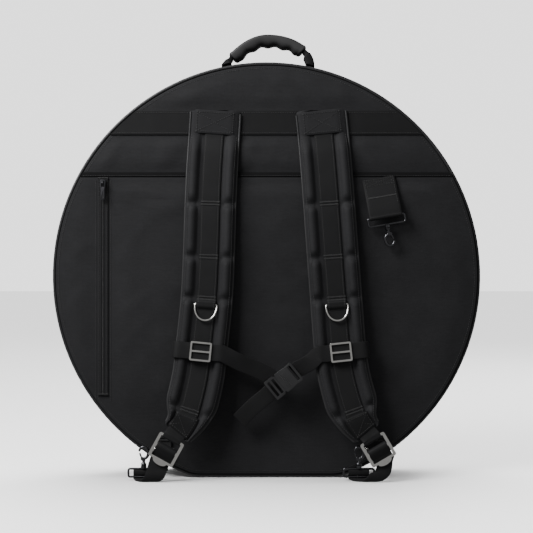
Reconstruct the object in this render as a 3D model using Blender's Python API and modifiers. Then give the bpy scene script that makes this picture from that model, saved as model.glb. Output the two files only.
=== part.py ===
"""A round padded cymbal bag with backpack straps, modelled piece by piece.

The bag stands on its flattened foot. +Z is up, the strap side faces -Y and the lid faces +Y.
The origin is on the floor under the middle of the case. All sizes are in metres.
"""
import math

import bmesh
import bpy
from mathutils import Matrix, Vector

# Fits
CLEARANCE = 0.0003
RUNNING_GAP = 0.0006
MERGE_DISTANCE = 0.00001

# Case
OUTER_RADIUS = 0.3165
FOOT_FLAT_RISE = 0.0185
BASE_FILLET = 0.0600
CASE_DEPTH = 0.0900
RIB_PROUD = 0.0008
PIPING_RADIUS = 0.0025
GUSSET_INSET = 0.0010
GUSSET_THICKNESS = 0.0040
PANEL_THICKNESS = 0.0080
PANEL_EDGE = 0.0015
ZIP_END_ANGLE = math.radians(138)
RIM_STEP = math.radians(6)

# Base guard
GUARD_THICKNESS = 0.0025
RIB_DEPTH = 0.0012
RIB_PITCH = 0.0080
RIB_STATIONS = 4

# Main zip
ZIP_OFFSET = 0.0140
ZIP_TAPE_WIDTH = 0.0065
ZIP_TAPE_THICKNESS = 0.0014
ZIP_TAPE_INSET = 0.0018
CHAIN_PROUD = 0.0010
ZIP_SECTION_SHARES = [(0, 0), (0.60, 0), (0.68, 1), (1, 1)]

# Zip sliders and pulls
SLIDER_LENGTH = 0.0110
SLIDER_WIDTH = 0.0090
SLIDER_HEIGHT = 0.0032
SLIDER_EDGE = 0.0010
SLIDER_NOSE_SHARE = 0.62
BRIDGE_RADIUS = 0.0030
BRIDGE_WIRE = 0.0007
BRIDGE_POINTS = 9
BRIDGE_START = math.radians(-35)
BRIDGE_SWEEP = math.radians(250)
PULL_LENGTH = 0.0260
PULL_WIDTH = 0.0080
PULL_TIP_WIDTH = 0.0062
PULL_THICKNESS = 0.0012
PULL_BAR = 0.0016
PULL_WINDOW_LENGTH = 0.0048
PULL_WINDOW_WIDTH = 0.0042
PULL_BAR_LIFT = 0.0014
MAIN_SLIDER_ANGLES = {"left": math.radians(24), "right": math.radians(28)}

# Dividers
DIVIDER_THICKNESS = 0.0050
DIVIDER_EDGE_GAP = 0.0100
DIVIDER_HINGE_HEIGHT = 0.0165
DIVIDER_TAB_INSET = 0.0080
DIVIDER_PLACES = {"rear": -0.0120, "front": 0.0060}

# Webbing and the band across the top
WEBBING_THICKNESS = 0.0016
BAND_DROP = 0.0721
BAND_WIDTH = 0.0358

# Pocket on the strap side
POCKET_DROP = 0.1705
POCKET_THICKNESS = 0.0030
POCKET_EDGE = 0.0008
BINDING_HEIGHT = 0.0070
BINDING_THICKNESS = 0.0040
POCKET_ZIP_INSET = 0.0755
POCKET_ZIP_WIDTH = 0.0150
POCKET_ZIP_LENGTH = 0.3220
POCKET_ZIP_TAPE = 0.0010
POCKET_CHAIN_PROUD = 0.0012
POCKET_ZIP_SHARES = [(0, 0), (0.34, 0), (0.38, 1), (0.62, 1), (0.66, 0), (1, 0)]
SLIDER_END_GAP = 0.0090

# Pocket on the lid
LID_POCKET_DROP = 0.1845
LID_POCKET_INSET = 0.0300
LID_POCKET_THICKNESS = 0.0040
LID_POCKET_FOOT_GAP = 0.0150
LID_ZIP_SIDE_GAP = 0.0200
LID_ZIP_DROP = 0.0300

# Handle
HANDLE_X = 0.0020
HANDLE_Y = -0.0170
HANDLE_HALF_SPAN = 0.0660
HANDLE_RISE = 0.0420
HANDLE_LEANS = {"left": 2.0, "right": 1.0}
HANDLE_WIDTH = 0.0260
HANDLE_THICKNESS = 0.0026
HANDLE_LEG_TOP = 0.0036
HANDLE_LEG_DEPTH = 0.0086
HANDLE_LEG_ANGLE = math.radians(23)
HANDLE_THIN_ANGLE = math.radians(6)
HANDLE_AXIS_LIFT = 0.0190
HANDLE_FOOT_SHARE = 1.4
HANDLE_PATCH_WIDTH = 0.0320
HANDLE_PATCH_ANGLE = math.radians(18)
HANDLE_STEPS = 36
HANDLE_CROSS_STEPS = 4
GRIP_HALF_ANGLE = math.radians(55)
GRIP_SLOT_SHARE = 1.08
GRIP_WIDTH = 0.0320
GRIP_TOP = 0.0030
GRIP_DEPTH = 0.0110
GRIP_RIDGE = 0.0022
GRIP_RIDGES = 5
GRIP_STEPS = 30
GRIP_SECTION_SHARES = [(-1, 0.22), (-0.86, 0.72), (-0.5, 1), (0.5, 1), (0.86, 0.72), (1, 0.22)]

# Shoulder straps: (across as a share of the case radius, up as a share of the band's height,
# off the bag as a share of the strap's full stand-off)
STRAP_STAND_OFF = 0.0380
STRAP_ROUTE_SHARES = {
    "left": [(-0.236, 1.000, 0.000), (-0.243, 0.933, 0.000), (-0.253, 0.839, 0.150),
             (-0.260, 0.736, 0.280), (-0.267, 0.601, 0.390), (-0.277, 0.483, 0.470),
             (-0.299, 0.358, 0.600), (-0.317, 0.271, 0.730), (-0.362, 0.173, 0.890),
             (-0.422, 0.122, 0.955), (-0.457, 0.0887, 1.000), (-0.476, 0.066, 1.020)],
    "right": [(0.253, 1.000, 0.000), (0.265, 0.933, 0.000), (0.278, 0.839, 0.150),
              (0.291, 0.736, 0.280), (0.307, 0.601, 0.390), (0.322, 0.483, 0.470),
              (0.338, 0.358, 0.600), (0.360, 0.271, 0.730), (0.411, 0.173, 0.890),
              (0.472, 0.122, 0.955), (0.508, 0.0887, 1.000), (0.529, 0.066, 1.020)],
}
ROUTE_STEPS = 240
LOCK_ROUTE_POINT = 10
PAD_WIDTH = 0.0740
PAD_THICKNESS = 0.0130
PAD_STEPS = 38
PAD_END_GAP = 0.0080
PAD_END_TAPER = 0.0550
PAD_END_WIDTH_SHARE = 0.62
PAD_FLAT_SHARE = 0.36
PAD_SWELL = 0.0300
PAD_CHANNEL_WIDTH = 0.0372
PAD_SECTION_SHARES = [(-1, 0.30), (-0.80, 0.82), (-0.45, 1.0), (-0.12, 0.80), (0, 0.42)]
BARTACK_HEIGHT_SHARES = [0.745, 0.599, 0.487, 0.190]
BARTACK_WIDTH = 0.0070
BARTACK_DEPTH_SHARE = 0.42
STRAP_WEBBING_WIDTH = 0.0280
STRAP_WEBBING_STEPS = 34

# Ladder locks
LOCK_WIDTH = 0.0400
LOCK_LENGTH = 0.0380
LOCK_SIDE = 0.0042
LOCK_BAR = 0.0036
LOCK_THICKNESS = 0.0030
LOCK_EDGE = 0.0008
CORNER_SHARE = 0.7
LOCK_TAB_RADIUS = 0.0110
LOCK_TAB_POINTS = 9

# D-rings: the wire, and the inside of the ring
RING_WIRE = 0.0015
RING_LEAN = math.radians(12)
STRAP_RING_WIDTH = 0.0294
STRAP_RING_DROP = 0.0210
STRAP_RING_HEIGHT_SHARE = 0.472
RING_POINTS = 11
BOW_SHARE = 0.8
RING_HUMP_LENGTH = 0.0160
RING_HUMP_SHARES = [-1, -0.75, -0.5, -0.25, 0, 0.25, 0.5, 0.75, 1]
GUSSET_RING_WIDTH = 0.0260
GUSSET_RING_DROP = 0.0190
GUSSET_RING_HEIGHT = 0.0440
GUSSET_TAB_WIDTH = 0.0220
GUSSET_TAB_HEIGHT = 0.0200
GUSSET_WRAP_DEGREES = [0, -45, -90, -135, -180, -215]
GUSSET_TAB_PLY_SHARE = 1.3
GUSSET_TAB_INSETS = {"left": 0.1655, "right": 0.1555}

# Chest strap
STERNUM_WIDTH = 0.0240
STERNUM_HEIGHT_SHARE = 0.346
STERNUM_SLIDER_WIDTH = 0.0310
STERNUM_SLIDER_HEIGHT = 0.0280
STERNUM_SLIDER_SIDE = 0.0026
STERNUM_SLIDER_THICKNESS = 0.0022
STERNUM_PAD_GAP = 0.0022
STERNUM_FRONT_GAP = 0.0005
CHEST_ROUND_SHARES = [(-0.45, 1, 0), (0.5, 1, 0), (0.86, 1, 0), (1.0, 0.1, 0), (1.03, 0, 0.35),
                      (0.98, 0, 0.75),
                      (0.84, 0, 1), (0.5, 0, 1), (0, 0, 1), (-0.5, 0, 1), (-0.8, 0, 1)]
CHEST_TAIL_LENGTH = 0.0850
CHEST_FOLD_SHARES = (0.42, 0.95)
CHEST_FOLD_ROUND_SHARES = (0.35, -0.25)
CHEST_BACK_SHARES = [(0.62, 0.42), (0.10, 0)]
CHEST_TAIL_SHARES = [(0.40, -0.06, 1.0), (0.75, -0.16, 1.4)]
LEFT_SAG_SHARES = [(0.45, 0.070), (0.85, 0.035)]
RIGHT_SAG_SHARES = [(0.40, 0.105), (0.75, 0.070)]
CHEST_SLOT_SHARES = [(1.5, 1.02), (0.4, 1.02), (-0.6, 0.95), (-1.05, 0.70), (-1.05, 0)]
LEFT_CHEST_STEPS = 56
RIGHT_CHEST_STEPS = 64
BUCKLE_CENTRE = (0.0235, -0.0850, 0.1453)
BUCKLE_ANGLE = math.radians(39)
CHEST_BEHIND_BUCKLE = 0.0050

# Side-release buckle, in its own frame: +X from the male end to the female end
BUCKLE_WIDTH = 0.0320
BUCKLE_THICKNESS = 0.0100
BUCKLE_EDGE = 0.0018
FEMALE_LENGTH = 0.0300
FEMALE_MOUTH = -0.0040
FEMALE_WALL = 0.0022
FEMALE_SHOULDER_SHARE = 0.35
FEMALE_WAIST_SHARE = 0.60
FEMALE_CAVITY = 0.0200
FEMALE_WINDOW_START = 0.0040
FEMALE_WINDOW_END = 0.0120
FEMALE_SLOT = 0.0045
FEMALE_SLOT_BAR = 0.0035
MALE_THICKNESS = 0.0050
MALE_BASE_LENGTH = 0.0180
MALE_BAR = 0.0032
MALE_PRONG_LENGTH = 0.0200
MALE_PRONG = 0.0050
MALE_GUIDE = 0.0040
MALE_SHOULDER = 0.0015

# Swivel snap hooks
HOOK_WIRE = 0.0022
FRAME_WIRE = 0.0016
FRAME_SIDE_GAP = 0.0016
FRAME_HEIGHT = 0.0150
FRAME_CORNER = 0.0028
BOSS_RADIUS = 0.0042
BOSS_HEIGHT = 0.0060
SWIVEL_HEAD_RADIUS = 0.0040
SWIVEL_HEAD_HEIGHT = 0.0022
CLAW_RADIUS = 0.0068
CLAW_CENTRE_DROP = 0.0175
CLAW_POINTS = 12
CLAW_START = math.radians(100)
CLAW_SWEEP = math.radians(245)
CLAW_STRETCH_SHARE = 1.25
GATE_PIVOT_SHARES = (0.40, 1.22)
GATE_WIRE = 0.0013
LOWER_HOOK_OFF = 0.0270
LOWER_HOOK_PLACES = {"left": -0.1790, "right": 0.1345}
LOWER_HOOK_BAR_HEIGHT = 0.0056
ADJUSTER_WIDTH = 0.0300
LOWER_FRAME_WIDTH = 0.0380
ADJUSTER_STEPS = 52
ADJUSTER_TURN_SHARE = 0.36
ADJUSTER_TURN_LENGTH_SHARE = 0.16
ADJUSTER_WEAVE_SHARES = [(0, 1.6, -0.25), (0, 1.0, 0.8), (0, 0, 1.12), (0, -1.0, 0.85), (0.55, 0, 0),
                         (1, 1.0, -0.85), (1, 0, -1.1), (1, -1.0, -1.15)]
ADJUSTER_FOLD_SHARES = [(0.10, -0.06, 0.66), (0.24, -0.12, 0.34), (0.42, -0.04, 0.10), (0.64, 0.22, 0.0),
                        (0.86, 0.60, 0.0)]
ADJUSTER_WRAP_DEGREES = [-125, -90, -45, 0, 50]

# Webbing tab with the third hook
TAB_WIDTH = 0.0480
TAB_STRAP_GAP = 0.016013
TAB_LEAN = 0.0098
TAB_SEAM = 0.0015
TAB_DROP = 0.0570
TAB_BAR_OFF = 0.0150
TAB_STEPS = 26
TAB_BOW_SHARES = [(0.30, 0.50), (0.75, 0.90)]
TAB_WRAP_DEGREES = [60, 30, 0, -40, -90, -140, -180, -205]

# Worked out from the sizes above
BACK_FACE = -CASE_DEPTH / 2
LID_FACE = CASE_DEPTH / 2
CENTRE_HEIGHT = OUTER_RADIUS - FOOT_FLAT_RISE
CASE_TOP = CENTRE_HEIGHT + OUTER_RADIUS
BAND_TOP = CASE_TOP - BAND_DROP
BAND_BOTTOM = BAND_TOP - BAND_WIDTH
POCKET_TOP = CASE_TOP - POCKET_DROP
POCKET_ZIP_PLACE = POCKET_ZIP_INSET - OUTER_RADIUS
LID_POCKET_TOP = CASE_TOP - LID_POCKET_DROP
LOWER_HOOK_Y = BACK_FACE - LOWER_HOOK_OFF
BESIDE_TAB_SHARES = STRAP_ROUTE_SHARES["right"][2]
TAB_TOP_PLACE = BESIDE_TAB_SHARES[0] * OUTER_RADIUS + PAD_WIDTH / 2 + TAB_STRAP_GAP + TAB_WIDTH / 2
TAB_FOOT_PLACE = TAB_TOP_PLACE + TAB_LEAN
TAB_TOP_HEIGHT = POCKET_TOP - TAB_SEAM
TAB_BAR_HEIGHT = TAB_TOP_HEIGHT - TAB_DROP
PANEL_INSET = 2 * PIPING_RADIUS + CLEARANCE
GUSSET_START = 2 * PIPING_RADIUS + CLEARANCE
FILLET_HEIGHT = RIB_PROUD + BASE_FILLET
FILLET_PLACE = math.sqrt((OUTER_RADIUS - BASE_FILLET) ** 2 - (CENTRE_HEIGHT - FILLET_HEIGHT) ** 2)
FILLET_ANGLE = math.atan2(FILLET_PLACE, CENTRE_HEIGHT - FILLET_HEIGHT)
FOLD_HEIGHT = CENTRE_HEIGHT + (OUTER_RADIUS - PANEL_INSET) * math.cos(ZIP_END_ANGLE)
GAP_ANGLE = CLEARANCE / OUTER_RADIUS
BAND_FACE = BACK_FACE - CLEARANCE - WEBBING_THICKNESS
POCKET_FACE = BACK_FACE - CLEARANCE - POCKET_THICKNESS
STRAP_SEAT = BAND_FACE - 2 * CLEARANCE
PULL_AXIS_LIFT = SLIDER_HEIGHT + PULL_BAR_LIFT
WEB = WEBBING_THICKNESS
ACROSS = Vector((1, 0, 0))
OUTWARD = Vector((0, -1, 0))


# Scene and materials
def clear_scene():
    for old in list(bpy.data.objects):
        bpy.data.objects.remove(old, do_unlink=True)


def make_collection(name):
    collection = bpy.data.collections.new(name)
    bpy.context.scene.collection.children.link(collection)
    return collection


def make_material(name, colour, roughness, metallic=0.0):
    material = bpy.data.materials.new(name)
    material.use_nodes = True
    shader = material.node_tree.nodes["Principled BSDF"]
    shader.inputs["Base Color"].default_value = (*colour, 1)
    shader.inputs["Roughness"].default_value = roughness
    shader.inputs["Metallic"].default_value = metallic
    material.diffuse_color = (*colour, 1)
    return material


clear_scene()
PARTS = make_collection("cymbal_bag")
CUTTERS = make_collection("cutters")
FABRIC = make_material("black_polyester", (0.016, 0.016, 0.017), 0.85)
LINING = make_material("grey_lining", (0.05, 0.05, 0.055), 0.9)
WEBBING = make_material("black_webbing", (0.010, 0.010, 0.011), 0.75)
PIPING = make_material("black_piping", (0.012, 0.012, 0.013), 0.6)
RUBBER = make_material("black_rubber", (0.014, 0.014, 0.014), 0.7)
PLASTIC = make_material("black_plastic", (0.012, 0.012, 0.013), 0.4)
ZIP_TAPE = make_material("zip_tape", (0.010, 0.010, 0.011), 0.8)
ZIP_METAL = make_material("black_zip_metal", (0.05, 0.05, 0.055), 0.3, 1.0)
NICKEL = make_material("bright_nickel", (0.62, 0.61, 0.60), 0.18, 1.0)
DARK_NICKEL = make_material("black_nickel", (0.10, 0.10, 0.11), 0.25, 1.0)


# Modelling helpers
def add_object(name, mesh, material, smooth_angle=None):
    mesh.materials.clear()
    mesh.materials.append(material)
    if smooth_angle is not None:
        mesh.shade_smooth()
        mesh.set_sharp_from_angle(angle=smooth_angle)
    thing = bpy.data.objects.new(name, mesh)
    PARTS.objects.link(thing)
    return thing


def face_outwards(bm):
    bmesh.ops.recalc_face_normals(bm, faces=bm.faces[:])
    if bm.calc_volume(signed=True) < 0:
        bmesh.ops.reverse_faces(bm, faces=bm.faces[:])


def bent_solid(name, material, long_steps, cross_steps, place):
    """A slab of long by cross cells, one cell thick, whose corners a formula puts in place.

    place(i, j, skin) gives the point of column i, row j, on skin 0 (back) or 1 (front).
    """
    bm = bmesh.new()
    bmesh.ops.create_grid(bm, x_segments=long_steps, y_segments=cross_steps, size=1)
    extruded = bmesh.ops.extrude_face_region(bm, geom=bm.faces[:], use_keep_orig=True)
    front = {item for item in extruded["geom"] if isinstance(item, bmesh.types.BMVert)}
    for vertex in bm.verts:
        i = round((vertex.co.x + 1) / 2 * long_steps)
        j = round((vertex.co.y + 1) / 2 * cross_steps)
        vertex.co = place(i, j, 1 if vertex in front else 0)
    face_outwards(bm)
    mesh = bpy.data.meshes.new(name)
    bm.to_mesh(mesh)
    bm.free()
    return add_object(name, mesh, material, math.radians(40))


def as_mesh_object(thing, material, smooth_angle=None):
    """Turns a curve object into a mesh object of the same name, with its caps welded."""
    depsgraph = bpy.context.evaluated_depsgraph_get()
    mesh = bpy.data.meshes.new_from_object(thing.evaluated_get(depsgraph))
    bm = bmesh.new()
    bm.from_mesh(mesh)
    bmesh.ops.remove_doubles(bm, verts=bm.verts[:], dist=MERGE_DISTANCE)
    face_outwards(bm)
    bm.to_mesh(mesh)
    bm.free()
    name = thing.name
    place = thing.matrix_world.copy()
    bpy.data.objects.remove(thing, do_unlink=True)
    solid = add_object(name, mesh, material, smooth_angle)
    solid.name = name
    solid.matrix_world = place
    return solid


def plate(name, material, outlines, thickness, place, edge=0.0):
    """A flat piece: closed 2D outlines (holes after the first), filled and extruded about z = 0."""
    curve = bpy.data.curves.new(name, "CURVE")
    curve.dimensions = "2D"
    curve.fill_mode = "BOTH"
    curve.extrude = thickness / 2
    for outline in outlines:
        spline = curve.splines.new("POLY")
        spline.points.add(len(outline) - 1)
        for point, (x, y) in zip(spline.points, outline):
            point.co = (x, y, 0, 1)
        spline.use_cyclic_u = True
    thing = bpy.data.objects.new(name, curve)
    PARTS.objects.link(thing)
    thing.matrix_world = place
    bpy.context.view_layer.update()
    solid = as_mesh_object(thing, material)
    if edge:
        bevel = solid.modifiers.new("edge", "BEVEL")
        bevel.width = edge
        bevel.segments = 1
        bevel.limit_method = "ANGLE"
        bevel.angle_limit = math.radians(50)
    return solid


def wire(name, material, points, radius, cyclic=False, place=None):
    """A bent round wire along a list of points, as a mesh object."""
    curve = bpy.data.curves.new(name, "CURVE")
    curve.dimensions = "3D"
    curve.bevel_depth = radius
    curve.bevel_resolution = 1
    curve.use_fill_caps = not cyclic
    spline = curve.splines.new("POLY")
    spline.points.add(len(points) - 1)
    for point, co in zip(spline.points, points):
        point.co = (*co, 1)
    spline.use_cyclic_u = cyclic
    thing = bpy.data.objects.new(name, curve)
    PARTS.objects.link(thing)
    thing.matrix_world = place or Matrix()
    bpy.context.view_layer.update()
    return as_mesh_object(thing, material, math.radians(60))


def round_bar(name, material, radius, length, sides, place):
    """A straight round bar along its own Z, centred, from a cone of equal radii."""
    bm = bmesh.new()
    bmesh.ops.create_cone(bm, cap_ends=True, segments=sides, radius1=radius, radius2=radius, depth=length)
    mesh = bpy.data.meshes.new(name)
    bm.to_mesh(mesh)
    bm.free()
    bar = add_object(name, mesh, material, math.radians(40))
    bar.matrix_world = place
    return bar


def box(name, material, size, place):
    bm = bmesh.new()
    bmesh.ops.create_cube(bm, size=1, matrix=Matrix.Diagonal((*size, 1)))
    mesh = bpy.data.meshes.new(name)
    bm.to_mesh(mesh)
    bm.free()
    block = add_object(name, mesh, material)
    block.matrix_world = place
    return block


def combine(target, tool, operation):
    """Unites a tool with a target, or cuts it out, and keeps the tool among the cutters."""
    PARTS.objects.unlink(tool)
    CUTTERS.objects.link(tool)
    tool.hide_render = True
    tool.display_type = "WIRE"
    boolean = target.modifiers.new(tool.name, "BOOLEAN")
    boolean.object = tool
    boolean.operation = operation
    boolean.solver = "EXACT"


def ride(name, centre, pieces):
    """Parents pieces to an empty that stands on their joint's axis."""
    empty = bpy.data.objects.new(name, None)
    PARTS.objects.link(empty)
    empty.location = centre
    bpy.context.view_layer.update()
    for piece in pieces:
        kept = piece.matrix_world.copy()
        piece.parent = empty
        piece.matrix_parent_inverse = empty.matrix_world.inverted()
        piece.matrix_world = kept
    return empty


def upright(y):
    """A frame for flat pieces that stand in the XZ plane, at this Y."""
    turn = Matrix.Rotation(math.radians(90), 4, "X")
    return Matrix.Translation((0, y, 0)) @ turn


# Curves and frames
def smooth_route(points, steps):
    """Points spaced evenly along one smooth curve through the given points."""
    padded = [2 * points[0] - points[1], *points, 2 * points[-1] - points[-2]]
    dense = []
    per_span = max(8, 4 * steps // len(points))
    for k in range(1, len(padded) - 2):
        a, b, c, d = padded[k - 1:k + 3]
        for n in range(per_span):
            t = n / per_span
            dense.append(0.5 * ((2 * b) + (c - a) * t + (2 * a - 5 * b + 4 * c - d) * t * t
                                + (3 * b - a - 3 * c + d) * t ** 3))
    dense.append(points[-1].copy())
    return evenly(dense, steps)


def evenly(dense, steps):
    reach = [0.0]
    for a, b in zip(dense, dense[1:]):
        reach.append(reach[-1] + (b - a).length)
    spaced = []
    k = 0
    for n in range(steps + 1):
        goal = reach[-1] * n / steps
        while k < len(dense) - 2 and reach[k + 1] < goal:
            k += 1
        span = reach[k + 1] - reach[k]
        spaced.append(dense[k].lerp(dense[k + 1], (goal - reach[k]) / span if span else 0))
    return spaced


def frames(points, across_at, squared=True):
    """A frame (point, across, outward) at each point; across_at(n) says where across is.

    Squared turns across at right angles to the route; otherwise it stays as given.
    """
    result = []
    for n, point in enumerate(points):
        ahead = points[min(n + 1, len(points) - 1)]
        behind = points[max(n - 1, 0)]
        tangent = (ahead - behind).normalized()
        across = across_at(n)
        outward = tangent.cross(across).normalized()
        if squared:
            across = outward.cross(tangent).normalized()
        result.append((point, across, outward))
    return result


def ribbon(name, points, across_at, width, squared=True):
    """Flat webbing along a route, with its middle plane on the route."""
    stations = frames(points, across_at, squared)

    def place(i, j, skin):
        point, across, outward = stations[i]
        return point + across * (j - 0.5) * width + outward * (skin - 0.5) * WEB

    return bent_solid(name, WEBBING, len(points) - 1, 1, place)


def step_up(value, start, span):
    """0 before start, 1 after start + span, smooth between."""
    t = min(max((value - start) / span, 0), 1)
    return t * t * (3 - 2 * t)


# The rim: a circle with a flat foot and soft corners beside it
def rim_stations(start, end):
    """Directions from the top, clockwise seen from the strap side, each with its side of the foot."""
    tiny = RIM_STEP / 1000
    inner = range(math.ceil((start + tiny) / RIM_STEP), math.floor((end - tiny) / RIM_STEP) + 1)
    stations = []
    for angle in [start, *(k * RIM_STEP for k in inner), end]:
        if abs(abs(angle) - math.pi) < tiny:
            stations += [(angle, 1), (angle, -1)]
        else:
            stations.append((angle, 1 if math.sin(angle) > 0 else -1))
    return stations


def rim_point(station, inset):
    """The X and Z of the rim in that direction, moved in by inset."""
    angle, side = station
    direction = Vector((math.sin(angle), math.cos(angle)))
    if -math.cos(angle) > math.cos(FILLET_ANGLE):
        return Vector((side * FILLET_PLACE, FILLET_HEIGHT)) + direction * (BASE_FILLET - inset)
    return Vector((0, CENTRE_HEIGHT)) + direction * (OUTER_RADIUS - inset)


def whole_rim():
    return rim_stations(0, 2 * math.pi)[:-1]


def rim_band(name, material, start, end, y_start, y_end, inset, thickness):
    """A curved wall that follows the rim between two directions."""
    stations = rim_stations(start, end)

    def place(i, j, skin):
        x, z = rim_point(stations[i], inset + thickness * (1 - skin))
        return Vector((x, y_start + (y_end - y_start) * j, z))

    return bent_solid(name, material, len(stations) - 1, 1, place)


def rim_bead(name, stations, y, cyclic):
    points = []
    for station in stations:
        x, z = rim_point(station, PIPING_RADIUS)
        points.append(Vector((x, y, z)))
    return wire(name, PIPING, points, PIPING_RADIUS, cyclic)


def half_width_at(height, inset):
    return math.sqrt((OUTER_RADIUS - inset) ** 2 - (height - CENTRE_HEIGHT) ** 2)


# Case: back panel, gusset, base and their edges
def make_case():
    outline = [rim_point(station, PANEL_INSET) for station in whole_rim()]
    plate("back_panel", FABRIC, [outline], PANEL_THICKNESS,
          upright(BACK_FACE + PANEL_THICKNESS / 2), PANEL_EDGE)
    rim_bead("back_piping", whole_rim(), BACK_FACE + PIPING_RADIUS, True)
    end = ZIP_END_ANGLE - GAP_ANGLE
    rear_edge = ZIP_OFFSET - CLEARANCE / 2 - ZIP_TAPE_WIDTH - CLEARANCE
    rim_band("rear_gusset", FABRIC, -end, end, BACK_FACE + GUSSET_START, rear_edge,
             GUSSET_INSET, GUSSET_THICKNESS)
    base_outer = GUARD_THICKNESS + CLEARANCE
    base_inner = GUSSET_INSET + GUSSET_THICKNESS
    rim_band("base_gusset", FABRIC, ZIP_END_ANGLE, 2 * math.pi - ZIP_END_ANGLE,
             BACK_FACE + GUSSET_START, LID_FACE - GUSSET_START, base_outer, base_inner - base_outer)
    zip_half("body_zip_tape", rear_edge + CLEARANCE, ZIP_OFFSET - CLEARANCE / 2)


def zip_half(name, y_edge, y_middle):
    """One half of the main zip: tape at the gusset's edge, chain at the middle."""
    end = ZIP_END_ANGLE - GAP_ANGLE
    stations = rim_stations(-end, end)

    def place(i, j, skin):
        cross, proud = ZIP_SECTION_SHARES[j]
        inset = ZIP_TAPE_INSET - proud * CHAIN_PROUD * skin + ZIP_TAPE_THICKNESS * (1 - skin)
        x, z = rim_point(stations[i], inset)
        return Vector((x, y_edge + (y_middle - y_edge) * cross, z))

    return bent_solid(name, ZIP_TAPE, len(stations) - 1, len(ZIP_SECTION_SHARES) - 1, place)


def make_base_guard():
    """The ribbed rubber strip that the bag stands on, with its ribs across the base."""
    dense = []
    fine = RIM_STEP / 12
    count = round((math.pi - ZIP_END_ANGLE) / fine)
    for side in (1, -1):
        half = []
        for n in range(count + 1):
            angle = ZIP_END_ANGLE + (math.pi - ZIP_END_ANGLE) * n / count
            half.append(Vector(rim_point((angle * side, side), 0)))
        dense += half if side == 1 else half[::-1]
    length = sum((b - a).length for a, b in zip(dense, dense[1:]))
    ribs = 2 * round(length / RIB_PITCH / 2) + 1
    outline = evenly(dense, ribs * RIB_STATIONS)
    normals = []
    for n, point in enumerate(outline):
        run = outline[min(n + 1, len(outline) - 1)] - outline[max(n - 1, 0)]
        normals.append(Vector((run.y, -run.x)).normalized())
    stations = []
    for k in range(ribs):
        first = RIB_STATIONS * k
        stations += [(first, 0), (first + 1, 1), (first + RIB_STATIONS - 1, 1)]
    stations.append((RIB_STATIONS * ribs, 0))

    def place(i, j, skin):
        index, crest = stations[i]
        proud = RIB_PROUD - RIB_DEPTH * (1 - crest)
        shift = -proud if skin else GUARD_THICKNESS
        x, z = outline[index] + normals[index] * shift
        y_start = BACK_FACE + GUSSET_START
        return Vector((x, y_start + (LID_FACE - GUSSET_START - y_start) * j, z))

    return bent_solid("base_guard", RUBBER, len(stations) - 1, 1, place)


def make_lower_front():
    """The part of the front panel under the fold, sewn to the base with its own piping edge."""
    stations = rim_stations(ZIP_END_ANGLE, 2 * math.pi - ZIP_END_ANGLE)
    top = FOLD_HEIGHT - CLEARANCE
    edge = half_width_at(top, PANEL_INSET)
    outline = [Vector((edge, top)), *(rim_point(station, 0) for station in stations), Vector((-edge, top))]
    panel = plate("front_lower_panel", FABRIC, [outline], 2 * PIPING_RADIUS,
                  upright(LID_FACE - PIPING_RADIUS), PANEL_EDGE)
    inner = [rim_point(station, PANEL_INSET) for station in stations]
    inner[0] = Vector((edge, top))
    inner[-1] = Vector((-edge, top))
    depth = PANEL_THICKNESS - PIPING_RADIUS
    back = plate("front_lower_back", FABRIC, [inner], depth,
                 upright(LID_FACE - PANEL_THICKNESS + depth / 2))
    combine(panel, back, "UNION")
    return panel


# Lid: front panel above the fold, its gusset half, piping and zip half, and its pocket
def make_lid():
    end = ZIP_END_ANGLE - GAP_ANGLE
    outline = [rim_point(station, PANEL_INSET) for station in rim_stations(-end, end)]
    panel = plate("lid_panel", FABRIC, [outline], PANEL_THICKNESS,
                  upright(LID_FACE - PANEL_THICKNESS / 2), PANEL_EDGE)
    bead = rim_bead("lid_piping", rim_stations(-end, end), LID_FACE - PIPING_RADIUS, False)
    lid_edge = ZIP_OFFSET + CLEARANCE / 2 + ZIP_TAPE_WIDTH + CLEARANCE
    gusset = rim_band("lid_gusset", FABRIC, -end, end, lid_edge, LID_FACE - GUSSET_START,
                      GUSSET_INSET, GUSSET_THICKNESS)
    tape = zip_half("lid_zip_tape", lid_edge - CLEARANCE, ZIP_OFFSET + CLEARANCE / 2)
    foot = FOLD_HEIGHT + LID_POCKET_FOOT_GAP
    outline = pocket_outline(LID_POCKET_TOP, foot, LID_POCKET_INSET)
    middle = LID_FACE + CLEARANCE + LID_POCKET_THICKNESS / 2
    pocket = plate("front_pocket_panel", FABRIC, [outline], LID_POCKET_THICKNESS, upright(middle),
                   POCKET_EDGE)
    face = LID_FACE + 2 * CLEARANCE + LID_POCKET_THICKNESS
    half = half_width_at(lid_zip_height(), LID_POCKET_INSET) - LID_ZIP_SIDE_GAP
    zip_place = turned((-1, 0, 0), (0, 1, 0), (0, face, lid_zip_height()))
    lid_tape = straight_zip("front_pocket_zip_tape", 2 * half, zip_place)
    return [panel, bead, gusset, tape, pocket, lid_tape]


def lid_zip_height():
    return LID_POCKET_TOP - LID_ZIP_DROP


def pocket_outline(top, foot, inset):
    """A panel that follows the rim between a straight top edge and a straight foot."""
    radius = OUTER_RADIUS - inset
    start = math.acos((top - CENTRE_HEIGHT) / radius)
    end = math.acos((foot - CENTRE_HEIGHT) / radius)
    right = [rim_point(station, inset) for station in rim_stations(start, end)]
    left = [Vector((-x, z)) for x, z in reversed(right)]
    return right + left


def turned(along, outward, centre):
    """A frame with X along, Z outward, at a centre."""
    x = Vector(along).normalized()
    z = Vector(outward).normalized()
    y = z.cross(x)
    return Matrix.Translation(centre) @ Matrix((x, y, z)).transposed().to_4x4()


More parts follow.
